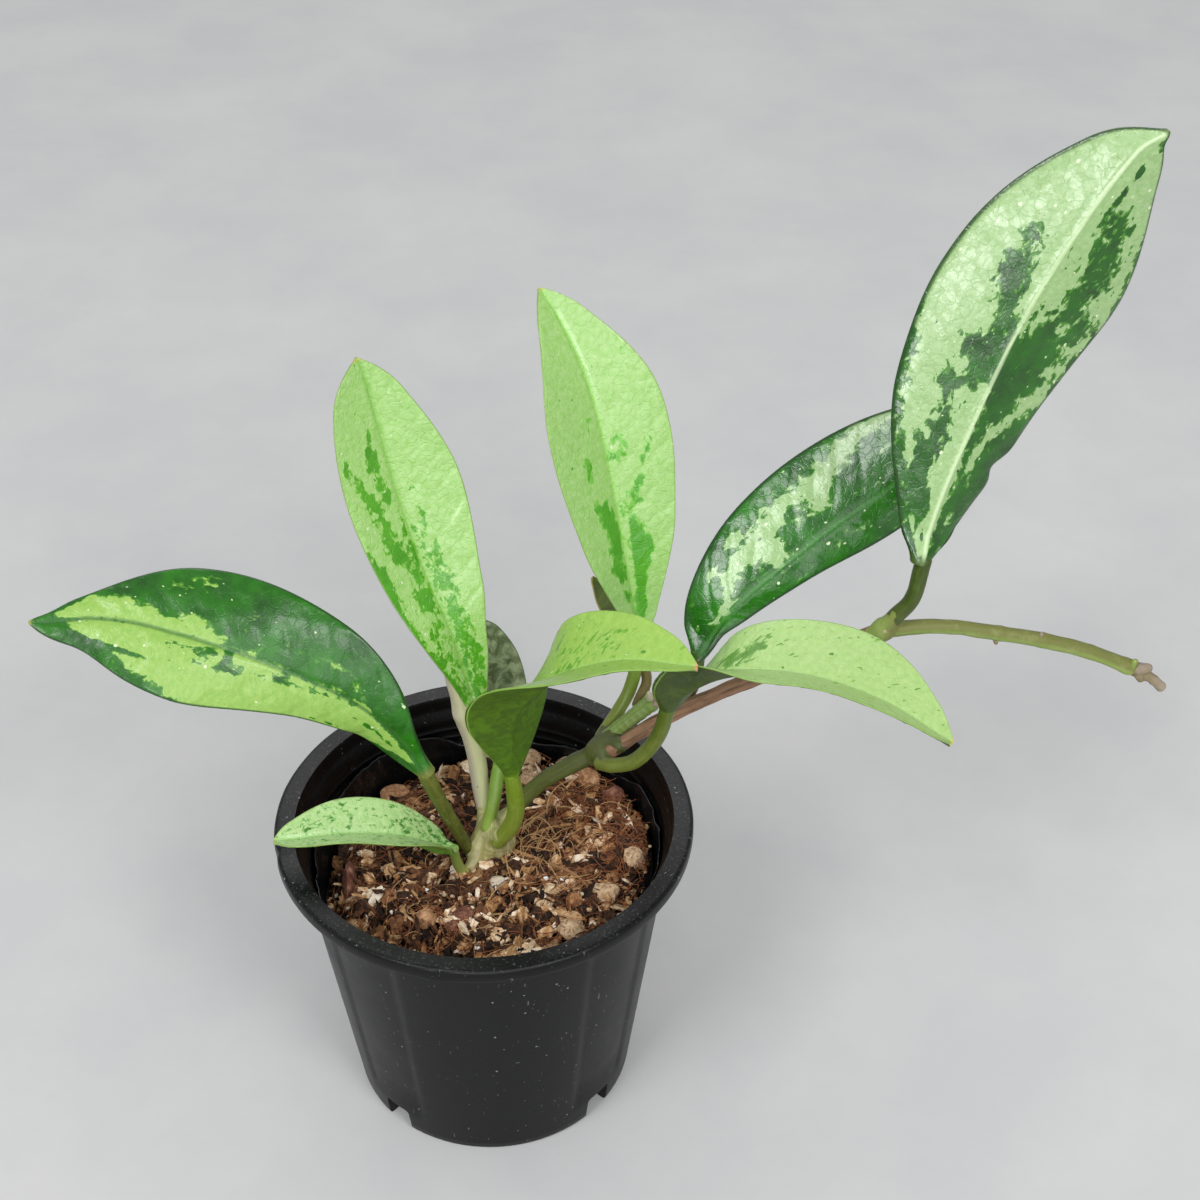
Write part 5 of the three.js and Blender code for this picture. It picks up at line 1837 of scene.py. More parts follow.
def make_leaves() -> list[Leaf]:
    """Lists the ten leaves, each with its splash."""
    return [
        Leaf(
            "leaf_a", "old_leaf", OLD_LEAF_A,
            ((-14, -2, 104), (-27, -1, 123), (-47.5, 0, 137.5), (-68, 2, 146), (-103.5, 5, 150.5)),
            (-0.55, -0.62, 0.55), (0.1, -0.62, 0.78), (4.5, 15.5, 17.5, 7), (7, 9.5, 15, 6), 0.12, -4,
            collar=2.1, thickness=1.6, pucker=0.32,
            rib=((0, 0), (0.6, 0), (0.7, 0.05), (0.8, 0.17), (0.88, 0.26), (0.95, 0.12), (1, 0)),
            nicks=(Nick(-1, 0.9, 0.22, 0.07), Nick(1, 0.97, 0.25, 0.04)), plain=0.1, seed=1,
            marks=(
                Mark(1, (
                    (0.04, -0.3, -0.15), (0.1, -0.62, -0.12), (0.15, -0.95, -0.08), (0.25, -1.1, -0.05),
                    (0.5, -1.1, 0), (0.62, -1.0, 0.03), (0.7, -0.84, 0.03), (0.78, -0.74, 0.12),
                    (0.8, -0.5, 0.14), (0.86, -0.36, 0.2), (0.9, -0.2, 0.2), (0.915, 0, 0.12),
                )),
                Mark(1, (
                    (0.6, 0.08, 0.1), (0.63, 0.08, 0.26), (0.67, 0.08, 0.28), (0.71, 0.1, 0.2),
                    (0.75, 0.15, 0.38), (0.8, 0.2, 0.6), (0.84, 0.27, 0.72), (0.88, 0.3, 0.86),
                    (0.92, 0.33, 0.75), (0.935, 0.4, 0.65),
                )),
                fleck(0.39, 0.48, -0.4, -0.06, 0.32, 0.3), fleck(0.5, 0.6, -0.44, -0.2, 0.3, 0.3),
                fleck(0.56, 0.66, -0.22, -0.03, 0.35, 0.3), fleck(0.61, 0.68, -0.48, -0.34, 0.3, 0.3),
                fleck(0.66, 0.76, -0.2, -0.04, 0.45, 0.3), fleck(0.31, 0.37, -0.26, -0.08, 0.35, 0.3),
                fleck(0.73, 0.86, -0.52, -0.4, 0.0), fleck(0.06, 0.27, -0.46, -0.26, 0.45),
                fleck(0.23, 0.35, -0.95, -0.82, 0.5), fleck(0.62, 0.69, 0.7, 0.84, 0.55, 0.3),
                fleck(0.2, 0.25, -0.05, 0.14, 0.7), fleck(0.24, 0.33, 0.14, 0.44, 0.32, 0.4),
                fleck(0.33, 0.4, 0.24, 0.54, 0.3, 0.4), fleck(0.46, 0.56, 0.24, 0.54, 0.26, 0.4),
            ),
        ),
        Leaf(
            "leaf_b", "young_leaf", YOUNG_LEAF_B,
            ((-8.6, -5.2, 79.8), (-20, -8, 88), (-33, -10, 92), (-51.5, -14, 94.5)), (-0.4, 0, 1),
            (0.05, -0.1, 1), (5.5, 8, 8, 4), (5, 8.5, 6.5, 4.5), 0.5, collar=1.35, plain=0.62, seed=2,
            rows=120, columns=72,
            marks=(
                Mark(0.5, (
                    (0.02, 0, 0.9), (0.1, 0.1, 0.9), (0.2, 0.15, 0.8), (0.32, 0.1, 0.7), (0.4, 0.2, 0.5),
                )),
                Mark(0.55, ((0.6, 0.2, 0.9), (0.75, 0.2, 0.9), (0.85, 0.3, 0.7))),
            ),
        ),
        Leaf(
            "leaf_c", "young_leaf", YOUNG_LEAF_C,
            ((-0.6, 5.4, 116), (-6, 9, 139), (-11.5, 14, 153.5), (-18, 20.5, 175), (-23.8, 26.3, 204.8)),
            (0.3, -0.85, 0.44), (0.3, -0.8, 0.5), (5, 11.5, 15, 8), (4, 10.4, 13, 9.4), 0.34,
            rib=((0, 0), (0.4, 0.0), (0.75, 0.05), (0.93, 0.1), (1, 0.05)),
            nicks=(Nick(1, 0.23, 0.1, 0.07),), plain=1.0, seed=3, collar=1.65,
            marks=(
                Mark(0.34, (
                    (0.0, 0.0, 1), (0.1, 0.0, 0.95), (0.2, 0.0, 0.8), (0.3, 0.02, 0.5), (0.4, 0.02, 0.5),
                    (0.47, 0.03, 0.3), (0.56, 0.02, 0.1),
                ), 0.3),
                Mark(0.5, (
                    (0.0, -1, 0), (0.08, -0.9, 0), (0.2, -0.8, -0.02), (0.33, -0.7, -0.02), (0.4, -0.5, 0),
                    (0.5, -0.2, 0),
                ), 0.3),
                Mark(0, (
                    (0.05, -1.2, -0.6), (0.15, -1.2, -0.82), (0.25, -1.2, -0.86), (0.35, -1.2, -0.86),
                    (0.4, -1.2, -0.76), (0.48, -1.2, -0.74), (0.54, -1.2, -0.95),
                )),
                Mark(0, (
                    (0.43, -0.2, -0.14), (0.47, -0.5, -0.22), (0.53, -0.64, -0.28), (0.57, -0.52, -0.3),
                    (0.62, -0.6, -0.34), (0.68, -0.72, -0.5), (0.73, -0.76, -0.68),
                )),
                fleck(0.32, 0.39, -0.4, -0.1, 0.0), fleck(0.44, 0.6, -0.12, -0.02, 0.2),
                fleck(0.61, 0.71, -0.32, -0.1, 0.15), fleck(0.7, 0.79, -0.42, -0.12, 0.2),
                fleck(0.79, 0.83, -0.26, -0.16, 0.1), fleck(0.73, 0.78, -0.9, -0.76, 0.1),
                fleck(0.53, 0.59, 0.2, 0.32, 0.3), fleck(0.6, 0.66, 0.18, 0.3, 0.4),
                fleck(0.44, 0.5, 0.28, 0.42, 0.3),
            ),
        ),
        Leaf(
            "leaf_d", "young_leaf", LEAF_D,
            ((6.2, 11.4, 100.6), (5.6, 15, 110), (4, 19, 120), (1.6, 23.5, 130.5)), (0.3, 0.85, -0.4),
            (0.3, 0.85, -0.4), (4.5, 7, 7, 4), (4.5, 7, 7, 4), 0.1, plain=0.7, seed=4, rows=100, columns=64,
            collar=1.65,
        ),
        Leaf(
            "leaf_e", "young_leaf", YOUNG_LEAF_E,
            ((40.4, 14, 129), (38, 17, 145.5), (32.5, 24, 173), (26, 31.5, 196.5), (18.6, 39.5, 213.8)),
            (0.42, -0.8, 0.44), (0.42, -0.76, 0.5), (5.5, 13.5, 16.5, 7.4), (5.4, 13.4, 15.2, 6), 0.4,
            rib=((0, 0), (0.2, 0), (0.4, 0.05), (0.6, 0.1), (0.8, 0.16), (0.93, 0.2), (1, 0.1)), plain=1.0,
            seed=5, collar=1.7,
            marks=(
                Mark(0.22, (
                    (0.05, 0.0, 0.4), (0.09, 0.04, 0.54), (0.15, 0.05, 0.5), (0.2, 0.05, 0.54),
                    (0.27, 0.06, 0.7), (0.3, 0.07, 0.5), (0.36, 0.1, 0.72), (0.4, 0.1, 0.5),
                    (0.42, 0.12, 0.3),
                )),
                Mark(0.22, (
                    (0.1, -0.25, -0.04), (0.14, -0.44, -0.03), (0.2, -0.42, -0.03), (0.24, -0.56, -0.02),
                    (0.27, -0.4, 0), (0.34, -0.38, 0), (0.4, -0.46, -0.02), (0.43, -0.56, -0.06),
                    (0.45, -0.3, -0.15),
                )),
                Mark(0.8, (
                    (0.15, 0.02, 0.06), (0.22, 0.02, 0.08), (0.3, 0.04, 0.1), (0.34, 0.08, 0.12),
                ), 0.2),
                Mark(0.9, ((0.34, 0.4, 0.45), (0.37, 0.3, 0.55), (0.39, 0.3, 0.4))),
                Mark(0.1, (
                    (0.41, 0.3, 0.36), (0.46, 0.42, 0.52), (0.5, 0.5, 0.6), (0.54, 0.62, 0.76),
                    (0.57, 0.7, 0.74),
                )),
                fleck(0.5, 0.6, 0.08, 0.4, 0.42, 0.3), fleck(0.66, 0.82, 0.76, 0.94, 0.45, 0.3),
                fleck(0.48, 0.58, -0.52, -0.2, 0.42, 0.3), fleck(0.6, 0.68, -0.24, 0.1, 0.5, 0.3),
                fleck(0.11, 0.14, -0.2, -0.1, 0.9), fleck(0.16, 0.19, -0.3, -0.12, 0.8),
            ),
        ),
        Leaf(
            "leaf_f", "young_leaf", LEAF_F, ((39.2, 21, 122.4), (35.5, 25, 129.5), (29.5, 30, 137)),
            (-0.6, 0.7, 0.3), (-0.6, 0.7, 0.3), (2.4, 3.7, 3.2, 1.3), (2.4, 3.7, 3.2, 1.3), 0.2, plain=0.3,
            seed=6, rows=60, columns=40, collar=1.25,
        ),
        Leaf(
            "leaf_g", "young_leaf", YOUNG_LEAF_G,
            (
                (7, -6, 106.2), (6.4, -8, 119.4), (8.6, -11, 131.5), (17, -15, 142.6), (33, -19, 150),
                (49.5, -24, 151),
            ),
            (-0.52, 0.82, 0.1), (0.1, 0, 1), (6, 11.5, 12.5, 6.5), (11, 13, 14, 7), 0.4, settle=0.7,
            plain=0.85, seed=7, collar=1.95, funnel=0.26,
            marks=(
                Mark(0.25, ((0.58, -0.1, 0), (0.63, -0.28, -0.04), (0.68, -0.4, -0.16), (0.74, -0.5, -0.34))),
                Mark(0.6, ((0.5, -0.8, -0.1), (0.65, -0.7, -0.1), (0.8, -0.7, -0.1)), 0.5),
            ),
        ),
        Leaf(
            "leaf_h", "young_leaf", YOUNG_LEAF_H,
            (
                (44.8, -10, 127.6), (48.2, -12, 135.5), (56, -14.5, 141.5), (75, -19, 143), (92, -26, 140),
                (108, -33, 132),
            ),
            (-0.45, 0.85, 0.3), (0.3, 0.05, 1), (8, 12.5, 13, 6.5), (8.5, 12.5, 16, 7.5), 0.4, settle=0.4,
            plain=0.8, seed=8, collar=1.95, funnel=0.12,
            marks=(Mark(0.15, (
                (0.24, -0.3, -0.02), (0.3, -0.42, -0.1), (0.36, -0.56, -0.34), (0.4, -0.66, -0.54),
            )),),
        ),
        Leaf(
            "leaf_i", "old_leaf", OLD_LEAF_I,
            ((54.3, 8, 127.8), (61.5, 11, 138), (80.5, 18.5, 151), (101.5, 25, 163.5), (124.5, 30, 180)),
            (-0.25, -0.85, 0.45), (-0.2, -0.85, 0.45), (3.5, 6.5, 10, 6.5), (10, 18, 18.5, 11), -0.15, -2,
            nicks=(Nick(1, 0.07, 0.3, 0.05),), plain=0.13, seed=9, collar=1.5, thickness=1.6,
            marks=(
                Mark(1, (
                    (0.1, -0.14, -0.08), (0.15, -0.16, -0.08), (0.19, -0.46, -0.14), (0.22, -0.54, -0.32),
                    (0.3, -0.56, -0.32), (0.35, -0.64, -0.36), (0.4, -0.68, -0.44), (0.45, -0.68, -0.54),
                    (0.49, -0.64, -0.6),
                )),
                Mark(1, ((0.31, -0.3, -0.16), (0.33, -0.5, -0.02), (0.36, -0.4, -0.1))),
                Mark(1, (
                    (0.49, -0.44, -0.34), (0.51, -0.66, -0.28), (0.54, -0.7, -0.28), (0.57, -0.74, -0.52),
                    (0.62, -0.82, -0.64), (0.67, -0.88, -0.66), (0.72, -0.98, -0.78), (0.8, -1.02, -0.8),
                    (0.92, -1.02, -0.88),
                )),
                fleck(0.16, 0.2, -0.76, -0.64, 0.8), fleck(0.25, 0.31, -0.82, -0.66, 0.85),
                fleck(0.48, 0.58, 0.36, 0.62, 0.42, 0.3), fleck(0.28, 0.33, 0.08, 0.22, 0.4),
                fleck(0.42, 0.48, -0.46, -0.3, 0.5), fleck(0.7, 0.76, -0.7, -0.4, 0.4, 0.3),
                fleck(0.05, 0.08, -0.55, -0.4, 0.4),
            ),
        ),
        Leaf(
            "leaf_j", "old_leaf", OLD_LEAF_J,
            ((103.8, -2, 162), (108.5, 1, 179), (121.5, 8, 211), (133.5, 11.5, 233), (150, 15, 259.5)),
            (0.28, -0.82, 0.5), (0.28, -0.82, 0.5), (9.5, 16.5, 21, 8.5), (8, 19.5, 21.5, 11.5), -0.2, -2.5,
            rib=(
                (0, 0), (0.3, 0), (0.45, -0.02), (0.6, -0.06), (0.75, -0.1), (0.85, -0.15), (0.94, -0.2),
                (1, -0.1),
            ),
            nicks=(Nick(1, 0.225, 0.17, 0.028), Nick(1, 0.98, 0.3, 0.02)), hook=1.5, raised_rib=0.25,
            plain=0.15, seed=10, collar=2.05, thickness=1.7, vein_height=0.12,
            marks=(
                Mark(1, (
                    (0.02, -0.5, 0.1), (0.05, -0.55, 0.12), (0.07, -0.4, 0.1), (0.1, -0.12, 0.12),
                    (0.2, -0.05, 0.1), (0.24, 0, 0.04),
                )),
                fleck(0.04, 0.06, -0.3, -0.2, 0.0),
                Mark(1, (
                    (0.2, 0.36, 0.42), (0.24, 0.3, 0.42), (0.29, 0.27, 0.42), (0.33, 0.45, 0.6),
                    (0.38, 0.62, 0.82), (0.42, 0.78, 0.84),
                )),
                Mark(0.7, (
                    (0.36, 0.85, 0.95), (0.42, 0.78, 0.93), (0.5, 0.8, 0.93), (0.56, 0.84, 0.93),
                    (0.6, 0.9, 0.93),
                )),
                fleck(0.44, 0.48, 0.62, 0.86, 0.7), fleck(0.5, 0.54, 0.62, 0.82, 0.6),
                fleck(0.54, 0.58, 0.44, 0.56, 0.75), fleck(0.07, 0.12, 0.35, 0.6, 0.5),
                Mark(0.85, (
                    (0.55, 0.04, 0.16), (0.6, 0.1, 0.3), (0.66, 0.04, 0.26), (0.75, 0.0, 0.34),
                    (0.8, 0.02, 0.3),
                )),
                Mark(0.75, (
                    (0.6, 0.66, 0.9), (0.64, 0.56, 0.94), (0.68, 0.7, 0.96), (0.74, 0.72, 0.96),
                    (0.8, 0.6, 1.1),
                )),
                Mark(0.8, ((0.74, 0.2, 0.6), (0.8, 0.1, 1.1), (0.88, 0.1, 1.1), (0.96, -0.2, 1.1)), 0.3),
                Mark(1, ((0.85, 0.4, 1.1), (0.9, 0.3, 1.1), (1.0, -0.3, 1.1))),
                Mark(1, ((0.9, -0.3, 1.1), (1.02, -0.3, 1.1))),
                Mark(0.34, ((0.66, 0.3, 0.5), (0.72, 0.16, 0.6), (0.8, 0.12, 0.66), (0.85, 0.2, 0.5)), 0.25),
                fleck(0.89, 0.925, 0.1, 0.34, 0.0), fleck(0.82, 0.87, 0.05, 0.24, 0.15),
                fleck(0.74, 0.78, 0.4, 0.56, 0.0), fleck(0.955, 0.99, 0.3, 0.9, 0.3),
                Mark(1, (
                    (0.1, -0.14, 0), (0.13, -0.16, 0), (0.17, -0.32, 0), (0.2, -0.36, 0), (0.25, -0.25, 0),
                    (0.3, -0.2, 0), (0.35, -0.28, 0), (0.38, -0.06, 0),
                )),
                fleck(0.32, 0.39, -0.36, -0.12, 0.7), fleck(0.19, 0.25, -0.82, -0.66, 0.9),
                fleck(0.25, 0.28, -0.7, -0.48, 0.6), fleck(0.395, 0.43, -0.44, -0.32, 1.0),
                fleck(0.05, 0.1, -0.7, -0.55, 0.8),
                Mark(1, (
                    (0.26, -0.88, -0.78), (0.3, -0.87, -0.5), (0.35, -0.86, -0.48), (0.38, -0.86, -0.62),
                    (0.43, -0.87, -0.5), (0.47, -0.9, -0.56), (0.5, -0.9, -0.36),
                )),
                Mark(1, (
                    (0.47, -0.9, -0.6), (0.5, -0.95, -0.38), (0.56, -1.1, -0.42), (0.62, -1.1, -0.5),
                    (0.68, -1.1, -0.5), (0.76, -1.1, -0.5), (0.84, -1.1, -0.2), (0.9, -1.1, 0),
                    (1.02, -1.1, 0.1),
                )),
                Mark(1, (
                    (0.54, -0.06, 0), (0.6, -0.16, 0), (0.66, -0.24, 0), (0.72, -0.4, 0), (0.8, -0.6, 0.02),
                    (0.9, -0.7, 0.05),
                )),
                fleck(0.6, 0.67, -0.56, -0.28, 0.15), fleck(0.68, 0.73, -0.6, -0.32, 0.35),
            ),
        ),
    ]


def make_stems() -> list[Stem]:
    """Lists the stretches of stem and the petioles, each from where it starts to where it ends."""
    return [
        Stem(
            "shoot_stem", "stem", SHOOT_RIND,
            ((0.2, 7.8, 79.8), (-0.6, 9.2, 86.8), (-1.7, 11, 99.3), (-3.9, 12, 109.9), (-7, 15, 126)),
            (2.0, 2.2, 2.4, 2.4, 2.2), start_run=4, end_run=0.4, uneven=0.14, seed=1,
            swellings=(Swelling(0.62, 0.3, 3), Swelling(0.66, 0.5, 2, 300)),
        ),
        Stem(
            "vine_lower", "stem", VINE_RIND,
            ((7.6, 6.4, 81.6), (14.5, 6.2, 90.1), (20.8, 5.2, 95.7), (28.6, 4.3, 101.2)),
            (2.1, 2.1, 2.2, 2.5), start_run=4, end_run=0.6, uneven=0.16, seed=2,
            swellings=(Swelling(0.8, 0.35, 2.2, 90), Swelling(0.5, 0.2, 1.5)),
        ),
        Stem(
            "side_shoot", "petiole", SIDE_RIND, ((32.5, 6.2, 105.4), (37.3, 5.7, 110.5), (43, 6, 115.8)),
            (1.9, 1.95, 2.1), start_run=3, end_run=1.2, ribs=7, rib_depth=0.07, seed=3, step=0.25,
            swellings=(
                Swelling(0.93, 0.3, 0.9), Swelling(0.8, 0.14, 0.35), Swelling(0.68, 0.16, 0.4),
                Swelling(0.55, 0.12, 0.35), Swelling(0.42, 0.16, 0.4), Swelling(0.3, 0.12, 0.35),
                Swelling(0.18, 0.14, 0.4),
            ),
        ),
        Stem(
            "vine_woody", "woody_stem", WOODY_RIND,
            ((32.6, 1.4, 104.6), (43.1, 2, 112), (56.5, 1.4, 120.1), (78, 1, 130.4), (95.4, 0.5, 138.3)),
            (1.75, 1.75, 1.75, 1.8, 1.9), start_run=2, end_run=1.5, ribs=5, rib_depth=0.14, uneven=0.26,
            seed=4, swellings=(Swelling(0.53, 0.6, 1.8, 120), Swelling(0.55, 0.25, 3)),
        ),
        Stem(
            "vine_upper", "stem", UPPER_RIND,
            (
                (97.6, 0, 139.6), (111.3, 0, 139.8), (123.9, 0.3, 137), (136.9, 1, 133.2),
                (150.1, 1.4, 128.3), (162, 2, 121.8),
            ),
            (2.0, 1.75, 1.8, 1.85, 1.85, 1.9), start_run=1.5, end_run=0.8, uneven=0.14, seed=5, step=0.35,
            swellings=(
                Swelling(0.25, 0.08, 1.2), Swelling(0.43, 0.14, 1.0), Swelling(0.6, 0.12, 1.1),
                Swelling(0.8, 0.08, 1.2), Swelling(0.97, 0.25, 1.6),
            ),
        ),
        Stem(
            "vine_tip", "woody_stem", TIP_RIND, ((162.8, 2, 121.5), (167, 2, 118.6), (171, 2, 114.6)),
            (1.9, 1.3, 1.25), start_run=2.5, end_run=0, uneven=0.16, seed=6, step=0.25,
            swellings=(Swelling(0.3, 0.3, 0.8, 270), Swelling(0.97, 0.35, 0.7), Swelling(0.62, 0.15, 0.5)),
        ),
        Stem(
            "petiole_a", "petiole", petiole_rind("hoya_petiole_a", "#3c4410", "#5c6426", "#98984c", 0.95),
            ((-4, 2, 70.9), (-7.4, 0.8, 81.2), (-11, -0.8, 92.3), (-13.9, -2, 102.4)),
            (1.5, 1.75, 1.9, 2.05), start_run=2.2, end_run=2.4, seed=7,
        ),
        Stem(
            "petiole_b", "petiole", petiole_rind("hoya_petiole_b", "#9a9c58", "#7f9c44"),
            ((-5.2, -2.6, 67.9), (-6.9, -3, 70.6), (-7.8, -4, 74.9), (-8.2, -5, 78.4)),
            (1.4, 1.35, 1.3, 1.3), start_run=1.6, end_run=2.2, seed=8, swellings=(Swelling(0.05, 0.5, 1.4),),
        ),
        Stem(
            "petiole_c", "petiole", petiole_rind("hoya_petiole_c", "#8d9c50", "#7aa83c"),
            ((-0.6, 8.4, 108), (-0.4, 6.6, 111), (-0.6, 5.6, 114.4)), (1.3, 1.7, 1.6), start_run=2,
            end_run=2.4, seed=9,
        ),
        Stem(
            "petiole_d", "petiole", petiole_rind("hoya_petiole_d", "#84a040", "#64902a", "#a4b868", 0.8),
            ((0.9, 3, 80.6), (2.6, 4.8, 86.4), (3.8, 7.6, 92.4), (5.5, 11, 98.6)), (1.6, 1.75, 1.75, 1.6),
            start_run=3, end_run=2.9, seed=10,
        ),
        Stem(
            "petiole_e", "petiole", petiole_rind("hoya_petiole_e", "#8a9440", "#6a9420", "#a4b464", 0.7),
            (
                (31.1, 9.6, 103.4), (34.9, 10.8, 109.4), (37.8, 12.5, 114.6), (39.9, 13.8, 124.3),
                (40.3, 14, 128.1),
            ),
            (1.6, 1.65, 1.65, 1.65, 1.65), start_run=3, end_run=1.7, seed=11,
        ),
        Stem(
            "petiole_f", "woody_stem", petiole_rind("hoya_petiole_f", "#7a6a3a", "#6a6a2c", "#a08a5a"),
            ((40.1, 9.6, 113.9), (42.1, 13, 116.8), (40, 20, 121.6)), (1.4, 1.3, 1.2), start_run=3,
            end_run=2.1, seed=12,
        ),
        Stem(
            "petiole_g", "petiole", petiole_rind("hoya_petiole_g", "#7c8a30", "#6f8c18", "#a4b464", 0.8),
            ((3.6, -1.5, 78.8), (6, -2.7, 83.1), (7.8, -4, 90.2), (7.6, -5.2, 98.8), (6.9, -6, 104.9)),
            (2.1, 2.2, 2.2, 2.1, 1.9), start_run=3, end_run=2.1, seed=13,
        ),
        Stem(
            "petiole_h", "petiole", petiole_rind("hoya_petiole_h", "#66702a", "#4f6214", "#8a9448", 0.7),
            (
                (29.5, -1.6, 102.8), (32.2, -4.2, 104.3), (36.9, -6.6, 107.3), (40.9, -8, 113.1),
                (43.3, -9.2, 119.5), (44.5, -10, 126.1),
            ),
            (1.8, 1.9, 1.9, 1.9, 1.9, 1.9), start_run=2, end_run=2.3, seed=14,
        ),
        Stem(
            "petiole_i", "petiole", petiole_rind("hoya_petiole_i", "#5c4c28", "#3f5a1c"),
            ((52, 5.1, 118.6), (53.6, 7, 121), (54.3, 8, 126.5)), (1.5, 1.45, 1.45), start_run=3,
            end_run=2.1, seed=15,
        ),
        Stem(
            "petiole_j", "petiole", petiole_rind("hoya_petiole_j", "#42501a", "#34470f", "#66742e"),
            ((100, -1, 144.6), (103, -2, 150), (104.6, -2, 160.6)), (2.0, 1.9, 2), start_run=3, end_run=2.4,
            seed=16,
        ),
    ]


def make_roots(ground: Ground) -> list[Stem]:
    """Lists the roots that run over the mix."""
    finish = RindFinish(
        "hoya_root_bark", foot="#b08a5c", head="#93683f", streak="#6d4a2e", speck="#cba878", roughness=0.8,
        grain=0.8,
    )
    routes = {
        "root_front_right": (((9.5, 0), (15, -3), (22, -9), (26, -16)), 0.6),
        "root_right": (((10, 6), (17, 9), (25, 9), (33, 5)), 0.55),
        "root_right_far": (((11, 11), (17, 15), (23, 15), (30, 14)), 0.5),
        "root_front": (((5, -3.4), (8, -10), (7, -16), (12, -24)), 0.5),
    }
    roots = []
    for index, (name, (route, radius)) in enumerate(routes.items()):
        points = tuple((x, y, float(ground.height(x, y)) + radius + 0.9) for x, y in route)
        roots.append(Stem(
            name, "root", finish, points, (radius, radius * 0.8, radius * 0.5), start_run=3, end_run=1,
            uneven=0.12, seed=20 + index, sides=14,
        ))
    return roots


def make_chunks(ground: Ground) -> list[Chunk]:
    """Lists the larger stones and bark pieces that lie on the mix."""
    table = (
        ("pumice_right", (37.5, -6), (2.8, 3.4, 2.6), 20, PUMICE),
        ("pumice_front_right", (30, -16), (3.6, 3.2, 2.6), -20, PUMICE),
        ("pumice_front", (20, -27.5), (3.4, 2.8, 2.4), 10, PUMICE),
        ("pumice_back", (13, 36), (3, 3, 3.4), 0, PUMICE),
        ("pumice_back_small", (12.5, 28.5), (3, 2.4, 2.6), 40, PUMICE),
        ("bark_under_vine", (28, 26), (3.6, 2.8, 2.8), -30, TAN_BARK),
        ("bark_red", (34, 19), (3.2, 3.2, 2.8), 15, RED_BARK),
        ("bark_left_chip", (-35.5, -1), (1.8, 4.2, 5), -10, RED_BARK),
        ("bark_back_left", (-23, 30), (4.6, 3, 2.6), -10, TAN_BARK),
        ("bark_front_flake", (-7.5, -19), (4.4, 3.2, 1.6), 60, RED_BARK),
        ("bark_pale_front", (-15.5, -18), (2.8, 2.6, 2.2), 0, TAN_BARK),
        ("perlite_bead", (2.2, -7.6), (2.2, 1.7, 1.6), 0, PERLITE),
    )
    chunks = []
    for index, (name, at, size, turn, finish) in enumerate(table):
        slot = "bark" if name.startswith("bark") else "pumice"
        chunks.append(Chunk(name, finish, slot, at, size, turn, ground, seed=float(index)))
    return chunks


def make_knuckles() -> list[Knuckle]:
    """Lists the crown, the two nodes of the vine, and the small buds and scars on them."""
    return [
        Knuckle(
            "root_crown", "stem", CROWN_RIND, (1.9, 4.0, 73.0),
            (
                Arm((0.1, 7.8, 81.6), 4.0, 1.95), Arm((8.2, 6.5, 82.4), 3.8, 1.95),
                Arm((1.2, 3.4, 82.0), 3.6, 1.5), Arm((3.8, -1.6, 80.0), 4.0, 2.1),
                Arm((-4.3, 2.0, 72.2), 3.8, 1.4), Arm((-5.5, -2.7, 68.6), 3.4, 1.2),
                Arm((2.0, 4.6, 57.0), 4.6, 6.4),
            ),
            ("root_crown",), blend=0.8, uneven=0.4, seed=41,
        ),
        Knuckle(
            "vine_node_first", "stem", VINE_RIND, (29.4, 4.2, 101.8),
            (
                Arm((25.8, 4.5, 99.0), 2.5, 2.0), Arm((33.6, 5.9, 106.5), 2.4, 1.85),
                Arm((31.9, 10.0, 104.7), 2.5, 1.5), Arm((30.2, -2.3, 103.3), 2.5, 1.75),
                Arm((34.4, 1.6, 105.9), 2.5, 2.15),
            ),
            uneven=0.2, detail=5, seed=43,
        ),
        Knuckle(
            "vine_node_second", "stem", UPPER_RIND, (97.2, 0.1, 139.4),
            (
                Arm((93.6, 0.5, 137.4), 2.2, 1.75), Arm((101.2, 0.0, 140.2), 2.1, 1.65),
                Arm((100.4, -1.2, 145.6), 2.2, 1.9),
            ),
            uneven=0.2, detail=5, seed=45,
        ),
        Knuckle(
            "node_scar", "stem", SCAR_RIND, (97.2, -1.0, 140.4), (Arm((97.4, -2.0, 140.9), 1.0, 0.7),),
            uneven=0.12, detail=4, seed=47,
        ),
        Knuckle(
            "side_shoot_bud", "petiole", BUD_RIND, (42.0, 5.0, 118.0),
            (Arm((41.7, 4.4, 119.8), 1.15, 0.55),), uneven=0.08, detail=4, seed=49,
        ),
        Knuckle(
            "side_shoot_scar", "petiole", SCAR_RIND, (43.2, 5.2, 116.0),
            (Arm((43.5, 4.3, 116.2), 1.1, 0.9),), uneven=0.12, detail=4, seed=51,
        ),
        Knuckle(
            "tip_bud_low", "stem", TIP_RIND, (162.6, 1.4, 121.8), (Arm((164.0, 0.6, 119.4), 1.4, 0.95),),
            uneven=0.12, detail=4, seed=53,
        ),
        Knuckle(
            "tip_bud_middle", "stem", TIP_RIND, (163.0, 1.4, 122.0), (Arm((165.2, 0.6, 122.8), 1.7, 1.25),),
            uneven=0.12, detail=4, seed=55,
        ),
        Knuckle(
            "tip_bud_high", "stem", UPPER_RIND, (161.6, 1.4, 123.2), (Arm((161.8, 0.8, 125.0), 1.3, 0.8),),
            uneven=0.12, detail=4, seed=57,
        ),
        Knuckle(
            "vine_stub_low", "stem", TIP_RIND, (125.3, 0.3, 136.0), (Arm((125.5, -0.3, 134.2), 0.9, 0.55),),
            uneven=0.1, detail=4, seed=59,
        ),
        Knuckle(
            "vine_stub_high", "stem", TIP_RIND, (136.6, 0.9, 133.8), (Arm((136.8, 0.6, 135.4), 0.9, 0.5),),
            uneven=0.1, detail=4, seed=61,
        ),
    ]


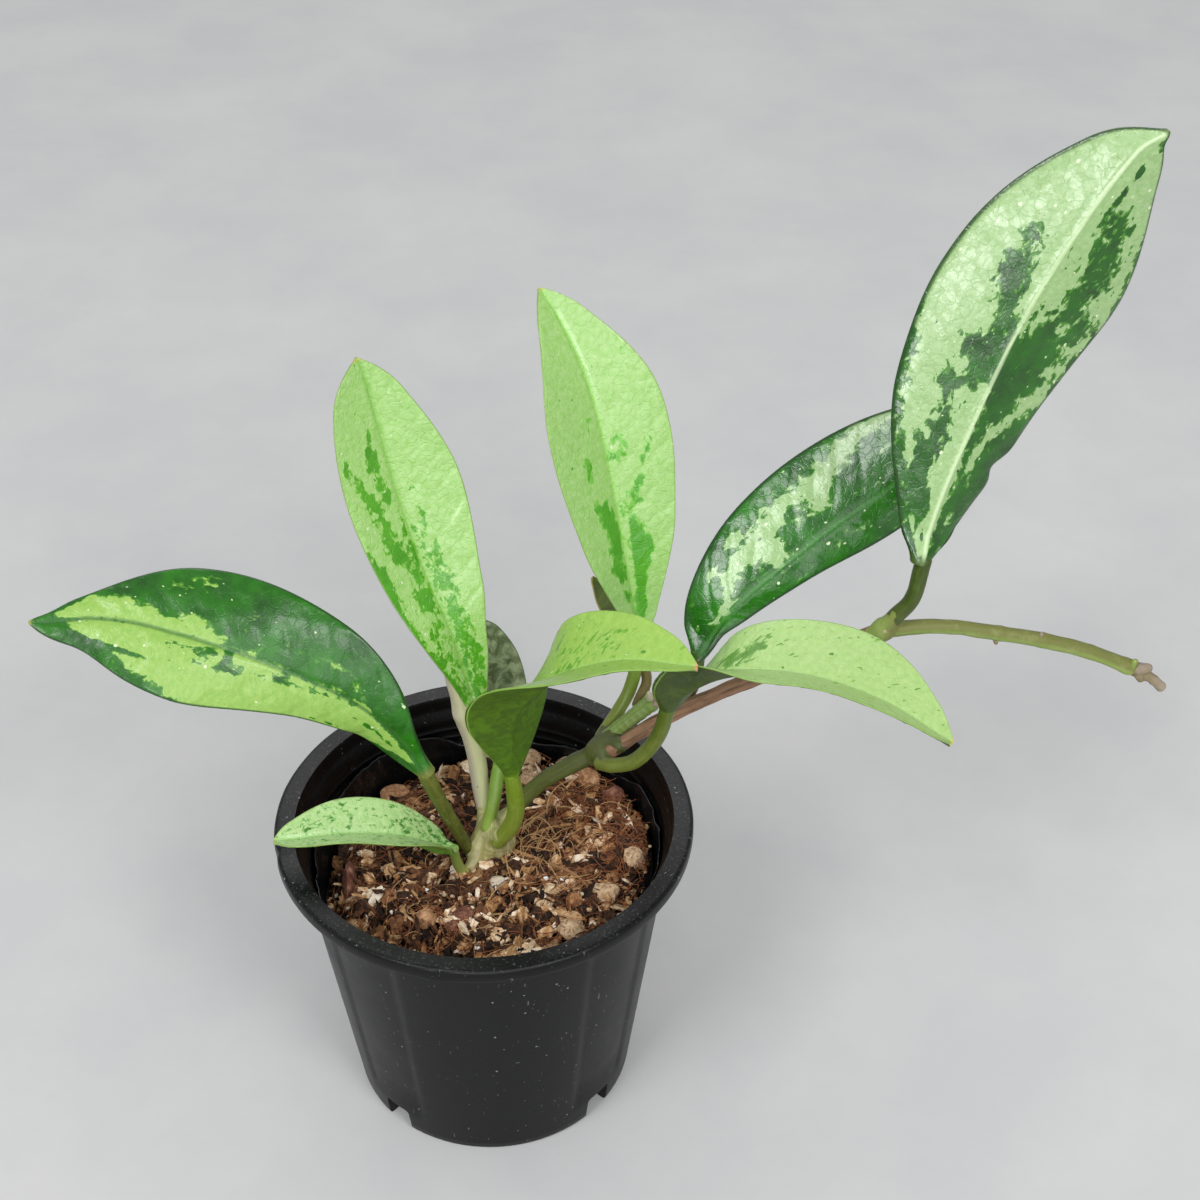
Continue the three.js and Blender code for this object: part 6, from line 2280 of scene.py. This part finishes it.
def make_litter(ground: Ground) -> list[Litter]:
    """Lists the kinds of chip that cover the mix."""
    return [
        Litter(
            "bark_flakes", ground, ChipShape.FLAKE, PINE_BARK, "bark", 820, (0.0, 1.05), (-2.8, 1.3), 0.6,
            11,
        ),
        Litter(
            "bark_blocks", ground, ChipShape.BLOCK, PINE_BARK, "bark", 330, (0.0, 0.95), (-2.8, 0.7), 0.7,
            16,
        ),
        Litter(
            "bark_slivers", ground, ChipShape.SLIVER, PINE_BARK, "bark", 560, (0.1, 1.0), (-1.8, 1.5), 0.5,
            12,
        ),
        Litter(
            "bark_crumbs", ground, ChipShape.CRUMB, PINE_BARK, "potting_mix", 2600, (0.0, 1.0), (-3.2, 1.1),
            1.5, 13,
        ),
        Litter(
            "pale_grit", ground, ChipShape.GRIT, PINE_BARK, "pumice", 110, (0.8, 1.0), (-0.9, 1.4), 1.5, 14,
        ),
        Litter(
            "perlite_grains", ground, ChipShape.GRIT, PERLITE, "pumice", 60, (0.2, 0.8), (-0.2, 1.4), 1.5,
            15,
        ),
    ]


def make_fibres(ground: Ground) -> list[Fibres]:
    """Lists the threads in the mix, by colour and place."""
    rust = BrokenFinish(
        "coir_fibre_rust", ((0.0, "#5c3420"), (0.5, "#8f5838"), (1.0, "#a87850")), use_tone=False, grain_mm=3
    )
    dark = BrokenFinish(
        "coir_fibre_dark", ((0.0, "#20120b"), (0.5, "#3c2415"), (1.0, "#5f3d26")), use_tone=False, grain_mm=3
    )
    pale = BrokenFinish(
        "hair_root_pale", ((0.0, "#9a7448"), (0.5, "#c49c6c"), (1.0, "#e0c498")), use_tone=False, grain_mm=3
    )
    return [
        Fibres("coir_rust", ground, rust, 560, (0.16, 0.34), seed=31),
        Fibres("coir_dark", ground, dark, 360, (0.16, 0.42), seed=32),
        Fibres("hair_roots", ground, pale, 130, (0.16, 0.32), arch=(0.2, 2.2), seed=33),
        Fibres(
            "hair_root_tuft", ground, pale, 60, (0.16, 0.34), (8, 16), 1.2, 0.4, (0.8, 4.0), (15, 6), 12,
            seed=34,
        ),
        Fibres(
            "coir_tuft", ground, rust, 170, (0.16, 0.32), (8, 16), 1.1, 0.7, (0.5, 3.2), (27, 12), 15,
            seed=35,
        ),
        Fibres(
            "coir_tuft_right", ground, rust, 120, (0.16, 0.32), (8, 14), 1.1, 0.7, (0.5, 3.0), (33, -1), 9,
            seed=36,
        ),
    ]


def main() -> None:
    """Builds the object from the pot up, then the studio."""
    pot = Pot(PlasticFinish(
        "polypropylene_moulded_black", "#040405", "#0d0d10", "#a2a3a6", specks=0.5, roughness=0.36,
        settled=0.16, sheen=0.24,
    ))
    ground = Ground(pot)
    log.info("pot and liner")
    pot.build()
    film = PlasticFinish(
        "polythene_film_black", "#0a0b0d", "#191b1e", "#6a6c70", roughness=0.26, grain=0.3, sheen=0.5
    )
    Liner(film, pot).build()
    log.info("potting mix")
    Mound(ground, GAP_FINES_PAINTED_SHADE).build()
    for layer in [*make_litter(ground), *make_fibres(ground), *make_chunks(ground)]:
        layer.build()
    log.info("plant")
    for part in [*make_knuckles(), *make_roots(ground), *make_stems(), *make_leaves()]:
        part.build()
    Studio().build()


if __name__ == "__main__":
    logging.basicConfig(level=logging.INFO)
    main()
